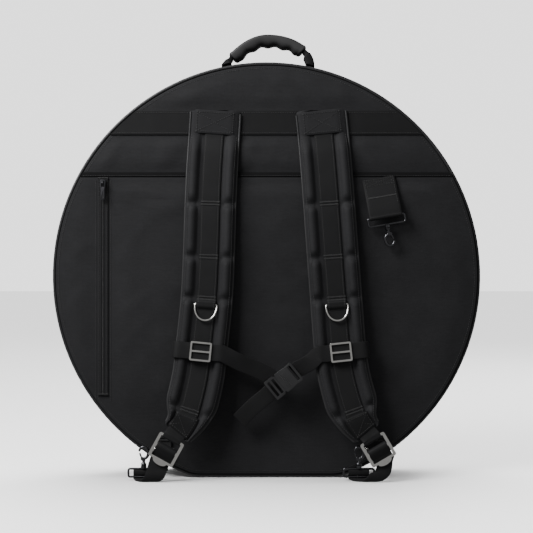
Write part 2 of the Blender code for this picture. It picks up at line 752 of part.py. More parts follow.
def straight_zip(name, length, place):
    """A flat zip along X, with its back on z = 0 and its chain standing proud in the middle."""
    def corner(i, j, skin):
        cross, proud = POCKET_ZIP_SHARES[j]
        z = skin * (POCKET_ZIP_TAPE + proud * POCKET_CHAIN_PROUD)
        return Vector((length * (i - 0.5), POCKET_ZIP_WIDTH * (cross - 0.5), z))

    tape = bent_solid(name, ZIP_TAPE, 1, len(POCKET_ZIP_SHARES) - 1, corner)
    tape.matrix_world = place
    return tape


# Strap side: band, pocket, binding and pocket zip
def make_strap_side():
    inset = PANEL_INSET
    top = half_width_at(BAND_TOP, inset)
    bottom = half_width_at(BAND_BOTTOM, inset)
    outline = [(-bottom, BAND_BOTTOM), (bottom, BAND_BOTTOM), (top, BAND_TOP), (-top, BAND_TOP)]
    plate("top_band", WEBBING, [outline], WEB, upright(BACK_FACE - CLEARANCE - WEB / 2))
    start = math.acos((POCKET_TOP - CENTRE_HEIGHT) / (OUTER_RADIUS - inset))
    outline = [rim_point(station, inset) for station in rim_stations(start, 2 * math.pi - start)]
    plate("pocket_panel", FABRIC, [outline], POCKET_THICKNESS,
          upright(POCKET_FACE + POCKET_THICKNESS / 2), POCKET_EDGE)
    foot = POCKET_TOP + CLEARANCE
    head = foot + BINDING_HEIGHT
    low = half_width_at(foot, inset)
    high = half_width_at(head, inset)
    outline = [(-low, foot), (low, foot), (high, head), (-high, head)]
    plate("pocket_binding", WEBBING, [outline], BINDING_THICKNESS,
          upright(BACK_FACE - CLEARANCE - BINDING_THICKNESS / 2), POCKET_EDGE)
    straight_zip("pocket_zip_tape", POCKET_ZIP_LENGTH, pocket_zip_frame(POCKET_ZIP_LENGTH / 2))


def pocket_zip_frame(down, lift=0.0):
    """A frame on the pocket zip, this far down from its top, with X pointing down."""
    centre = (POCKET_ZIP_PLACE, POCKET_FACE - CLEARANCE - lift, POCKET_TOP - CLEARANCE - down)
    return turned((0, 0, -1), (0, -1, 0), centre)


# Zip sliders and pulls
def make_slider(name, place):
    """A zip slider: a body with a narrowed nose, and a round bridge that holds the pull."""
    def corner(i, j, skin):
        x = SLIDER_LENGTH * (i - 0.5)
        width = SLIDER_WIDTH * (1 if i == 0 else SLIDER_NOSE_SHARE)
        inward = SLIDER_EDGE if skin else 0
        return Vector((x - inward * (2 * i - 1), (width - 2 * inward) * (j - 0.5), skin * SLIDER_HEIGHT))

    body = bent_solid(name, ZIP_METAL, 1, 1, corner)
    arch = []
    for n in range(BRIDGE_POINTS):
        angle = BRIDGE_START + BRIDGE_SWEEP * n / (BRIDGE_POINTS - 1)
        reach, rise = BRIDGE_RADIUS * math.cos(angle), BRIDGE_RADIUS * math.sin(angle)
        arch.append(Vector((reach, 0, PULL_AXIS_LIFT + rise)))
    bridge = wire(name + "_bridge", ZIP_METAL, arch, BRIDGE_WIRE)
    bridge.matrix_world = place
    body.matrix_world = place
    combine(body, bridge, "UNION")
    return body


def make_pull(name, place):
    """A flat pull whose head bar sits under the slider's bridge."""
    head = PULL_BAR / 2
    half = PULL_WIDTH / 2
    tip = PULL_TIP_WIDTH / 2
    foot = PULL_LENGTH - head
    outline = [(-head, -tip), (foot - tip / 2, -tip), (foot, -tip / 2), (foot, tip / 2),
               (foot - tip / 2, tip), (-head, tip)]
    outline[0] = (-head, -half)
    outline[-1] = (-head, half)
    gap = PULL_WINDOW_WIDTH / 2
    window = [(head, -gap), (head + PULL_WINDOW_LENGTH, -gap), (head + PULL_WINDOW_LENGTH, gap), (head, gap)]
    pull = plate(name, ZIP_METAL, [outline, window], PULL_THICKNESS,
                 place @ Matrix.Translation((0, 0, PULL_AXIS_LIFT)))
    return pull


def main_slider_frame(angle, side):
    """A frame on the main zip at this angle from the top, X pointing away from the other slider."""
    direction = Vector((math.sin(angle), 0, math.cos(angle)))
    tangent = Vector((math.cos(angle), 0, -math.sin(angle))) * side
    lift = OUTER_RADIUS - ZIP_TAPE_INSET + CHAIN_PROUD + CLEARANCE
    centre = Vector((0, ZIP_OFFSET, CENTRE_HEIGHT)) + direction * lift
    return turned(tangent, direction, centre)


def make_sliders():
    for side, sign in (("left", -1), ("right", 1)):
        place = main_slider_frame(MAIN_SLIDER_ANGLES[side], sign)
        slider = make_slider("main_slider_" + side, place)
        pull = make_pull("main_pull_" + side, place)
        ride("main_slider_axis_" + side, (0, ZIP_OFFSET, CENTRE_HEIGHT), [slider])
        ride("main_pull_axis_" + side, place @ Vector((0, 0, PULL_AXIS_LIFT)), [pull])
    lift = POCKET_ZIP_TAPE + POCKET_CHAIN_PROUD + CLEARANCE
    place = pocket_zip_frame(SLIDER_END_GAP, lift)
    make_slider("pocket_slider", place)
    pull = make_pull("pocket_pull", place)
    ride("pocket_pull_axis", place @ Vector((0, 0, PULL_AXIS_LIFT)), [pull])
    half = half_width_at(lid_zip_height(), LID_POCKET_INSET) - LID_ZIP_SIDE_GAP
    face = LID_FACE + 2 * CLEARANCE + LID_POCKET_THICKNESS
    centre = (half - SLIDER_END_GAP, face + lift, lid_zip_height())
    place = turned((-1, 0, 0), (0, 1, 0), centre)
    make_slider("front_pocket_slider", place)
    pull = make_pull("front_pocket_pull", place)
    ride("front_pocket_pull_axis", place @ Vector((0, 0, PULL_AXIS_LIFT)), [pull])


# Dividers
def make_dividers():
    """Padded leaves, each with a tab along its foot that reaches down to the base it is sewn to."""
    inset = PANEL_INSET + DIVIDER_EDGE_GAP
    foot = RIB_PROUD + GUSSET_INSET + GUSSET_THICKNESS + CLEARANCE
    half = FILLET_PLACE - DIVIDER_TAB_INSET
    tab = [Vector((half, RIB_PROUD + inset)), Vector((half, foot)), Vector((-half, foot)),
           Vector((-half, RIB_PROUD + inset))]
    outline = []
    stations = whole_rim()
    for n, station in enumerate(stations):
        if stations[n - 1][1] > 0 > station[1]:
            outline += tab
        outline.append(rim_point(station, inset))
    for name, y in DIVIDER_PLACES.items():
        leaf = plate("divider_" + name, LINING, [outline], DIVIDER_THICKNESS, upright(y))
        ride("divider_axis_" + name, (0, y, DIVIDER_HINGE_HEIGHT), [leaf])


# Handle
def patch_height(x):
    """The height of the sewn patch's surface at this X."""
    radius = OUTER_RADIUS - GUSSET_INSET + CLEARANCE + WEB
    return CENTRE_HEIGHT + math.sqrt(radius ** 2 - x ** 2)


def handle_base():
    """The height of the handle's feet, just above the highest point of the patch under them."""
    inner = HANDLE_HALF_SPAN - HANDLE_X - HANDLE_FOOT_SHARE * HANDLE_LEG_DEPTH
    return patch_height(inner) + CLEARANCE


def handle_point(angle, shift=0.0, across=0.0):
    """A point at this angle from the right foot, this far outside the handle's middle line."""
    def line(turn):
        lean = HANDLE_LEANS["left" if math.cos(turn) < 0 else "right"]
        rise = HANDLE_RISE * max(math.sin(turn), 0) ** lean
        return Vector((HANDLE_X + HANDLE_HALF_SPAN * math.cos(turn), HANDLE_Y, handle_base() + rise))

    step = RIM_STEP / 100
    run = line(min(angle + step, math.pi)) - line(max(angle - step, 0))
    normal = Vector((run.z, 0, -run.x)).normalized()
    return line(angle) + normal * shift + Vector((0, across, 0))


def make_handle():
    """Webbing with thick folded legs, thin inside the moulded grip that is wrapped round it."""
    patch_inset = GUSSET_INSET - CLEARANCE - WEB
    rim_band("handle_patch", WEBBING, -HANDLE_PATCH_ANGLE, HANDLE_PATCH_ANGLE,
             HANDLE_Y - HANDLE_PATCH_WIDTH / 2, HANDLE_Y + HANDLE_PATCH_WIDTH / 2, patch_inset, WEB)
    axis_height = handle_base() + HANDLE_AXIS_LIFT

    def webbing_corner(i, j, skin):
        across = HANDLE_WIDTH * (j / HANDLE_CROSS_STEPS - 0.5)
        angle = math.pi * i / HANDLE_STEPS
        thin = step_up(min(angle, math.pi - angle), HANDLE_LEG_ANGLE, HANDLE_THIN_ANGLE)
        thick = HANDLE_LEG_TOP if skin else HANDLE_LEG_DEPTH
        shift = thick + (HANDLE_THICKNESS / 2 - thick) * thin
        point = handle_point(angle, shift if skin else -shift, across)
        reach = axis_height - patch_height(point.x) - CLEARANCE
        foot = axis_height - math.sqrt(max(reach ** 2 - across ** 2, 0))
        point.z = foot if i in (0, HANDLE_STEPS) else max(point.z, foot)
        return point

    webbing = bent_solid("handle_webbing", WEBBING, HANDLE_STEPS, HANDLE_CROSS_STEPS, webbing_corner)

    def grip_corner(i, j, skin):
        cross, full = GRIP_SECTION_SHARES[j]
        share = i / GRIP_STEPS
        angle = math.pi / 2 + GRIP_HALF_ANGLE * (1 - 2 * share)
        valley = 0.5 + 0.5 * math.cos(2 * math.pi * GRIP_RIDGES * share)
        shift = HANDLE_THICKNESS / 2 + GRIP_TOP * full
        if not skin:
            shift = -HANDLE_THICKNESS / 2 - CLEARANCE - (GRIP_DEPTH - GRIP_RIDGE * valley) * full
        return handle_point(angle, shift, cross * GRIP_WIDTH / 2)

    def slot_corner(i, j, skin):
        angle = math.pi / 2 + GRIP_HALF_ANGLE * GRIP_SLOT_SHARE * (1 - 2 * i / GRIP_STEPS)
        shift = (HANDLE_THICKNESS + 2 * CLEARANCE) * (skin - 0.5)
        return handle_point(angle, shift, (HANDLE_WIDTH + 2 * CLEARANCE) * (j - 0.5))

    grip = bent_solid("handle_grip", RUBBER, GRIP_STEPS, len(GRIP_SECTION_SHARES) - 1, grip_corner)
    slot = bent_solid("handle_slot", RUBBER, GRIP_STEPS, 1, slot_corner)
    combine(grip, slot, "DIFFERENCE")
    ride("handle_axis", (HANDLE_X, HANDLE_Y, axis_height), [webbing, grip])


# Shoulder straps
class Strap:
    """One strap's route down the bag: even stations with a point, across and outward each."""

    def __init__(self, side):
        self.side = side
        self.sign = -1 if side == "left" else 1
        points = []
        for across, height, off in STRAP_ROUTE_SHARES[side]:
            y = STRAP_SEAT - off * STRAP_STAND_OFF
            points.append(Vector((across * OUTER_RADIUS, y, height * BAND_TOP)))
        self.lock_point = points[LOCK_ROUTE_POINT]
        route = smooth_route(points, ROUTE_STEPS)
        for point in route:
            point.y = min(point.y, STRAP_SEAT)
        self.stations = frames(route, lambda n: ACROSS)
        lengths = [(b[0] - a[0]).length for a, b in zip(self.stations, self.stations[1:])]
        self.length = sum(lengths)
        nearest = min(range(len(self.stations)), key=lambda n: (self.stations[n][0] - self.lock_point).length)
        self.lock_reach = self.length * nearest / ROUTE_STEPS

    def frame(self, reach):
        """The frame this far along the route from the top."""
        place = min(max(reach / self.length, 0), 1) * ROUTE_STEPS
        low = min(int(place), ROUTE_STEPS - 1)
        mix = place - low
        a, b = self.stations[low], self.stations[low + 1]
        point, across, outward = (a[k].lerp(b[k], mix) for k in range(3))
        return point, across.normalized(), outward.normalized()

    def reach_at(self, height):
        """How far along the route this height is."""
        nearest = min(range(len(self.stations)), key=lambda n: abs(self.stations[n][0].z - height))
        return self.length * nearest / ROUTE_STEPS

    def at(self, reach, across=0.0, outward=0.0):
        point, side, out = self.frame(reach)
        return point + side * across + out * outward


def pad_end(strap):
    return strap.lock_reach - LOCK_LENGTH / 2 - PAD_END_GAP


def pad_half_width(strap, reach):
    narrowing = step_up(reach, pad_end(strap) - PAD_END_TAPER, PAD_END_TAPER)
    return PAD_WIDTH / 2 * (1 - (1 - PAD_END_WIDTH_SHARE) * narrowing)


def pad_swell(strap, reach):
    """How full the padding is: thin where it is sewn down, dipped at each bartack."""
    stitched = BAND_TOP - BAND_BOTTOM
    swell = PAD_FLAT_SHARE + (1 - PAD_FLAT_SHARE) * step_up(reach, stitched, PAD_SWELL)
    swell *= 1 - (1 - PAD_FLAT_SHARE) * step_up(reach, pad_end(strap) - PAD_SWELL, PAD_SWELL)
    for share in BARTACK_HEIGHT_SHARES:
        offset = (reach - strap.reach_at(share * BAND_TOP)) / BARTACK_WIDTH
        swell *= 1 - BARTACK_DEPTH_SHARE * math.exp(-offset * offset)
    return swell


def make_pad(strap):
    section = [(-1, share, full) for share, full in PAD_SECTION_SHARES]
    section += [(1, -share, full) for share, full in reversed(PAD_SECTION_SHARES)]
    rows = len(section)
    channel = PAD_SECTION_SHARES[-1][1]

    def place(i, j, skin):
        reach = pad_end(strap) * i / PAD_STEPS
        side, share, full = section[j]
        side_width = pad_half_width(strap, reach) - PAD_CHANNEL_WIDTH / 2
        across = side * PAD_CHANNEL_WIDTH / 2 + share * side_width
        height = 0
        if skin:
            swell = pad_swell(strap, reach) if full > channel else pad_swell_smooth(strap, reach)
            height = max(PAD_THICKNESS * full * swell, WEB)
        point = strap.at(reach, across, height)
        if i == 0:
            point.z = BAND_TOP
        return point

    return bent_solid("strap_pad_" + strap.side, FABRIC, PAD_STEPS, rows - 1, place)


def pad_swell_smooth(strap, reach):
    """The channel under the webbing, which has no dips."""
    stitched = BAND_TOP - BAND_BOTTOM
    swell = PAD_FLAT_SHARE + (1 - PAD_FLAT_SHARE) * step_up(reach, stitched, PAD_SWELL)
    return swell * (1 - (1 - PAD_FLAT_SHARE) * step_up(reach, pad_end(strap) - PAD_SWELL, PAD_SWELL))


def channel_height(strap, reach):
    channel = PAD_SECTION_SHARES[-1][1]
    return max(PAD_THICKNESS * channel * pad_swell_smooth(strap, reach), WEB)


def ring_reach(strap):
    return strap.reach_at(STRAP_RING_HEIGHT_SHARE * BAND_TOP)


def lock_frame(strap):
    """The ladder lock's frame: X across, Y up the strap, Z outward."""
    point, across, outward = strap.frame(strap.lock_reach)
    lift = channel_height(strap, pad_end(strap)) + WEB / 2 + CLEARANCE
    up = outward.cross(across)
    turn = Matrix((across, up, outward)).transposed().to_4x4()
    return Matrix.Translation(point + outward * lift) @ turn


def weave_height():
    """How far webbing's middle stands off the lock's middle plane where it crosses a bar."""
    return LOCK_THICKNESS / 2 + CLEARANCE + WEB / 2 + LOCK_EDGE / 2


def make_strap_webbing(strap):
    """The webbing down the middle of the pad, with a hump over the D-ring's bar."""
    start = WEB
    end = pad_end(strap) - WEB
    ring = ring_reach(strap)
    half_hump = RING_HUMP_LENGTH / 2
    reaches = [start + (end - start) * n / STRAP_WEBBING_STEPS for n in range(STRAP_WEBBING_STEPS + 1)]
    reaches = [reach for reach in reaches if abs(reach - ring) > half_hump + WEB]
    reaches = sorted(reaches + [ring + share * half_hump for share in RING_HUMP_SHARES])
    points = []
    acrosses = []
    for reach in reaches:
        height = channel_height(strap, reach) + 2 * CLEARANCE + WEB / 2
        hump = 1 - step_up(abs(reach - ring), 2 * RING_WIRE, half_hump - 2 * RING_WIRE)
        height += (2 * RING_WIRE + CLEARANCE) * hump
        points.append(strap.at(reach, 0, height))
        acrosses.append(strap.frame(reach)[1])
    lock = lock_frame(strap)
    bar = (LOCK_LENGTH - LOCK_BAR) / 2
    off = weave_height()
    turn = WEB / 2 + CLEARANCE + LOCK_EDGE / 2
    inner = bar - LOCK_BAR / 2
    corner = (inner - turn * CORNER_SHARE, off - turn * (1 - CORNER_SHARE))
    weave = ((bar + LOCK_BAR, off), (bar, off), (inner, off), corner, (inner - turn, off - turn),
             (inner - turn, 0))
    for y, z in weave:
        points.append(lock @ Vector((0, y, z)))
        acrosses.append(lock_across(lock))
    return ribbon("strap_webbing_" + strap.side, points, lambda n: acrosses[n], STRAP_WEBBING_WIDTH)


def lock_across(lock):
    return (lock @ ACROSS - lock.translation).normalized()


def make_ladder_lock(strap):
    """A stamped ladder lock: frame, middle bar, and a round lift tab below its lower bar."""
    half_width = LOCK_WIDTH / 2
    half = LOCK_LENGTH / 2
    tab = []
    for n in range(LOCK_TAB_POINTS):
        angle = math.pi + math.pi * n / (LOCK_TAB_POINTS - 1)
        tab.append((LOCK_TAB_RADIUS * math.cos(angle), -half + LOCK_TAB_RADIUS / 2 * math.sin(angle)))
    corner = LOCK_SIDE / 2
    outline = [(-half_width, -half + corner), (-half_width + corner, -half), *tab,
               (half_width - corner, -half), (half_width, -half + corner),
               (half_width, half - corner), (half_width - corner, half),
               (-half_width + corner, half), (-half_width, half - corner)]
    inside = half_width - LOCK_SIDE
    slots = []
    for low, high in ((LOCK_BAR / 2, half - LOCK_BAR), (-half + LOCK_BAR, -LOCK_BAR / 2)):
        slots.append([(-inside, low), (inside, low), (inside, high), (-inside, high)])
    return plate("ladder_lock_" + strap.side, NICKEL, [outline, *slots], LOCK_THICKNESS,
                 lock_frame(strap), LOCK_EDGE)


def d_ring_points(width, drop):
    """A D: a straight bar on top and a round bow below it, in the XZ plane, bar at z = 0."""
    half = width / 2 + RING_WIRE
    points = []
    for n in range(RING_POINTS):
        angle = math.pi * n / (RING_POINTS - 1)
        fall = max(math.sin(angle), 0) ** BOW_SHARE
        points.append(Vector((half * math.cos(angle), 0, -(drop + 2 * RING_WIRE) * fall)))
    return points


def make_strap_ring(strap):
    reach = ring_reach(strap)
    point, across, outward = strap.frame(reach)
    lift = channel_height(strap, reach) + 2 * CLEARANCE + RING_WIRE
    up = outward.cross(across)
    tilt = Matrix((across, -outward, up)).transposed().to_4x4()
    place = Matrix.Translation(point + outward * lift) @ tilt @ Matrix.Rotation(-RING_LEAN, 4, "X")
    ring = wire("strap_ring_" + strap.side, NICKEL, d_ring_points(STRAP_RING_WIDTH, STRAP_RING_DROP),
                RING_WIRE, True, place)
    ride("strap_ring_axis_" + strap.side, place.translation, [ring])
    return ring


# Adjuster webbing and the hook at its end
def adjuster_points(strap):
    """Through the ladder lock, down to the floor and back under the hook frame's bar."""
    lock = lock_frame(strap)
    bar = (LOCK_LENGTH - LOCK_BAR) / 2
    route = []
    for bars_down, bar_widths, off in ADJUSTER_WEAVE_SHARES:
        route.append(lock @ Vector((0, bar_widths * LOCK_BAR - bars_down * bar, off * weave_height())))
    bar_centre = Vector((LOWER_HOOK_PLACES[strap.side], LOWER_HOOK_Y, LOWER_HOOK_BAR_HEIGHT))
    leave = route[-1]
    floor = WEB / 2 + CLEARANCE
    for across, back, height in ADJUSTER_FOLD_SHARES:
        x = leave.x + (bar_centre.x - leave.x) * across
        y = leave.y + (bar_centre.y - leave.y) * back
        route.append(Vector((x, y, floor + (leave.z - floor) * height)))
    gap = FRAME_WIRE + 2 * CLEARANCE + WEB / 2
    for degrees in ADJUSTER_WRAP_DEGREES:
        angle = math.radians(degrees)
        route.append(bar_centre + Vector((0, math.cos(angle), math.sin(angle))) * gap)
    return route


def make_adjuster(strap):
    points = smooth_route(adjuster_points(strap), ADJUSTER_STEPS)
    for point in points:
        point.z = max(point.z, WEB / 2 + CLEARANCE)
    across = lock_across(lock_frame(strap))

    def across_at(n):
        mix = step_up(n / (len(points) - 1), ADJUSTER_TURN_SHARE, ADJUSTER_TURN_LENGTH_SHARE)
        return across.lerp(ACROSS, mix).normalized()

    return ribbon("adjuster_webbing_" + strap.side, points, across_at, ADJUSTER_WIDTH, squared=False)


def hook_frame_outline(webbing_width):
    """The frame's loop: a rounded rectangle in the XZ plane with its webbing bar at z = 0."""
    half = webbing_width / 2 + FRAME_SIDE_GAP + FRAME_WIRE
    foot = -(FRAME_HEIGHT - 2 * FRAME_WIRE)
    points = []
    for x_sign, corner_z, start in ((1, -FRAME_CORNER, 0), (-1, -FRAME_CORNER, 90),
                                    (-1, foot + FRAME_CORNER, 180), (1, foot + FRAME_CORNER, 270)):
        for step in (0, 45, 90):
            angle = math.radians(start + step)
            points.append(Vector((x_sign * (half - FRAME_CORNER) + FRAME_CORNER * math.cos(angle), 0,
                                  corner_z + FRAME_CORNER * math.sin(angle))))
    return points


def make_hook(suffix, webbing_width, place):
    """Frame with a swivel boss, a forged hook under it and its sprung gate; bar at z = 0, hook down."""
    outline = hook_frame_outline(webbing_width)
    frame = wire("hook_frame_" + suffix, DARK_NICKEL, outline, FRAME_WIRE, True, place)
    foot = -(FRAME_HEIGHT - 2 * FRAME_WIRE)
    boss_middle = foot + FRAME_WIRE / 2 - BOSS_HEIGHT / 2
    boss = round_bar("hook_boss_" + suffix, DARK_NICKEL, BOSS_RADIUS, BOSS_HEIGHT, 16,
                     place @ Matrix.Translation((0, 0, boss_middle)))
    combine(frame, boss, "UNION")
    top = boss_middle - BOSS_HEIGHT / 2 - CLEARANCE
    centre = Vector((0, 0, top - CLAW_CENTRE_DROP))
    points = [Vector((0, 0, top - SWIVEL_HEAD_HEIGHT / 2)), Vector((0, 0, top - SWIVEL_HEAD_HEIGHT * 2))]
    for n in range(CLAW_POINTS):
        angle = CLAW_START + CLAW_SWEEP * n / (CLAW_POINTS - 1)
        stretch = Vector((math.cos(angle), 0, math.sin(angle) * CLAW_STRETCH_SHARE))
        points.append(centre + stretch * CLAW_RADIUS)
    hook = wire("snap_hook_" + suffix, DARK_NICKEL, points, HOOK_WIRE, False, place)
    head = round_bar("hook_head_" + suffix, DARK_NICKEL, SWIVEL_HEAD_RADIUS, SWIVEL_HEAD_HEIGHT, 16,
                     place @ Matrix.Translation((0, 0, top - SWIVEL_HEAD_HEIGHT / 2)))
    combine(hook, head, "UNION")
    tip = points[-1]
    pivot = gate_pivot(centre)
    along = (tip - pivot).normalized()
    end = tip - along * (HOOK_WIRE + GATE_WIRE + CLEARANCE)
    line = [pivot, pivot.lerp(end, 0.5), end]
    gate = wire("hook_gate_" + suffix, DARK_NICKEL, line, GATE_WIRE, False, place)
    ride("hook_axis_" + suffix, place @ Vector((0, 0, top)), [hook])
    ride("gate_axis_" + suffix, place @ pivot, [gate])
    return frame


def gate_pivot(centre):
    """Where the gate turns, on the open side just under the hook's shank."""
    across, up = GATE_PIVOT_SHARES
    return centre + Vector((across, 0, up)) * CLAW_RADIUS


def make_gusset_ring(side):
    """A folded webbing tab sewn low on the bag, and the D-ring that hangs in it."""
    sign = -1 if side == "left" else 1
    x = sign * (OUTER_RADIUS - GUSSET_TAB_INSETS[side])
    bar = Vector((x, POCKET_FACE - 2 * CLEARANCE - WEB - RING_WIRE, GUSSET_RING_HEIGHT))
    loop = RING_WIRE + CLEARANCE + WEB / 2
    head = GUSSET_RING_HEIGHT + GUSSET_TAB_HEIGHT
    points = [Vector((x, bar.y + loop, head)), Vector((x, bar.y + loop, GUSSET_RING_HEIGHT + loop))]
    for degrees in GUSSET_WRAP_DEGREES:
        angle = math.radians(degrees)
        points.append(bar + Vector((0, math.cos(angle), math.sin(angle))) * loop)
    front = bar.y + loop - GUSSET_TAB_PLY_SHARE * WEB
    points.append(Vector((x, front, GUSSET_RING_HEIGHT + 2 * loop)))
    points.append(Vector((x, front, head)))
    ribbon("gusset_tab_" + side, points, lambda n: ACROSS, GUSSET_TAB_WIDTH)
    ring = wire("gusset_ring_" + side, NICKEL, d_ring_points(GUSSET_RING_WIDTH, GUSSET_RING_DROP),
                RING_WIRE, True, Matrix.Translation(bar))
    ride("gusset_ring_axis_" + side, bar, [ring])


# Chest strap
def sternum_points(strap):
    """Round the pad from behind, over its front and off towards the buckle."""
    reach = strap.reach_at(STERNUM_HEIGHT_SHARE * BAND_TOP)
    half = pad_half_width(strap, reach) + STERNUM_PAD_GAP + WEB / 2
    behind = -STERNUM_PAD_GAP - WEB / 2
    front = PAD_THICKNESS + STERNUM_FRONT_GAP + WEB / 2
    points = []
    for cross, back, forward in CHEST_ROUND_SHARES:
        points.append(strap.at(reach, strap.sign * cross * half, back * behind + forward * front))
    return points


def buckle_frame():
    x, y, z = BUCKLE_CENTRE
    along = Vector((math.cos(BUCKLE_ANGLE), 0, math.sin(BUCKLE_ANGLE)))
    return turned(along, OUTWARD, (x, y, z))


def make_sternum(left, right):
    buckle = buckle_frame()
    behind = -(BUCKLE_THICKNESS / 2 + CHEST_BEHIND_BUCKLE)
    male_end = FEMALE_MOUTH - MALE_BASE_LENGTH
    points = sternum_points(left)
    along, across = CHEST_FOLD_SHARES
    fold = buckle @ Vector((male_end + along * MALE_BASE_LENGTH, across * BUCKLE_WIDTH, behind))
    points += sagging(points[-1], fold, LEFT_SAG_SHARES)
    out, down = CHEST_FOLD_ROUND_SHARES
    points.append(fold + Vector((out, 0, down)) * STERNUM_WIDTH)
    for along, across in CHEST_BACK_SHARES:
        points.append(buckle @ Vector((male_end + along * MALE_BASE_LENGTH, across * BUCKLE_WIDTH, behind)))
    for along, across, off in CHEST_TAIL_SHARES:
        spot = (male_end - along * CHEST_TAIL_LENGTH, across * BUCKLE_WIDTH, off * behind)
        points.append(buckle @ Vector(spot))
    route = smooth_route(points, LEFT_CHEST_STEPS)
    ribbon("sternum_webbing_left", route, chest_across(route, left), STERNUM_WIDTH)
    points = sternum_points(right)
    back = BUCKLE_THICKNESS / 2 + CLEARANCE + WEB / 2
    end = FEMALE_MOUTH + FEMALE_LENGTH
    slot = end - FEMALE_SLOT_BAR
    out = buckle @ Vector((end + 2 * WEB, 0, -back))
    points += sagging(points[-1], out, RIGHT_SAG_SHARES)
    points.append(out)
    for along, off in CHEST_SLOT_SHARES:
        points.append(buckle @ Vector((slot + along * WEB, 0, -off * back)))
    route = smooth_route(points, RIGHT_CHEST_STEPS)
    ribbon("sternum_webbing_right", route, chest_across(route, right, buckle_across(buckle)), STERNUM_WIDTH)


def sagging(start, end, shares):
    """Points on the way from start to end that hang a little below the straight line."""
    return [start.lerp(end, along) - Vector((0, 0, sag * STERNUM_WIDTH)) for along, sag in shares]


def buckle_across(buckle):
    """Down across the buckle's width."""
    return buckle.translation - buckle @ Vector((0, 1, 0))


def chest_across(route, strap, facing=None):
    """Round the pad the webbing's width runs up the strap, and past it the webbing faces outwards."""
    reach = strap.reach_at(STERNUM_HEIGHT_SHARE * BAND_TOP)
    point, across, outward = strap.frame(reach)
    up = outward.cross(across) * -strap.sign
    inner_edge = strap.at(reach, -strap.sign * PAD_WIDTH / 2)

    def across_at(n):
        past = (route[n].x - inner_edge.x) * -strap.sign
        run = route[min(n + 1, len(route) - 1)] - route[max(n - 1, 0)]
        towards = facing or OUTWARD.cross(run).normalized()
        return up.lerp(towards, step_up(past, -STERNUM_WIDTH / 4, STERNUM_WIDTH)).normalized()

    return across_at


def make_sternum_slider(strap):
    """A flat loop with a middle bar, lying over the chest webbing on the front of the pad."""
    reach = strap.reach_at(STERNUM_HEIGHT_SHARE * BAND_TOP)
    point, across, outward = strap.frame(reach)
    front = PAD_THICKNESS + STERNUM_FRONT_GAP + WEB + CLEARANCE + STERNUM_SLIDER_THICKNESS / 2
    up = outward.cross(across)
    turn = Matrix((across, up, outward)).transposed().to_4x4()
    place = Matrix.Translation(point + outward * front) @ turn
    half_width = STERNUM_SLIDER_WIDTH / 2
    half = STERNUM_SLIDER_HEIGHT / 2
    side = STERNUM_SLIDER_SIDE
    corner = side / 2
    outline = [(-half_width + corner, -half), (half_width - corner, -half), (half_width, -half + corner),
               (half_width, half - corner), (half_width - corner, half), (-half_width + corner, half),
               (-half_width, half - corner), (-half_width, -half + corner)]
    slots = []
    inside = half_width - side
    for low, high in ((-half + side, -side / 2), (side / 2, half - side)):
        slots.append([(-inside, low), (inside, low), (inside, high), (-inside, high)])
    return plate("sternum_slider_" + strap.side, NICKEL, [outline, *slots],
                 STERNUM_SLIDER_THICKNESS, place, side / 5)


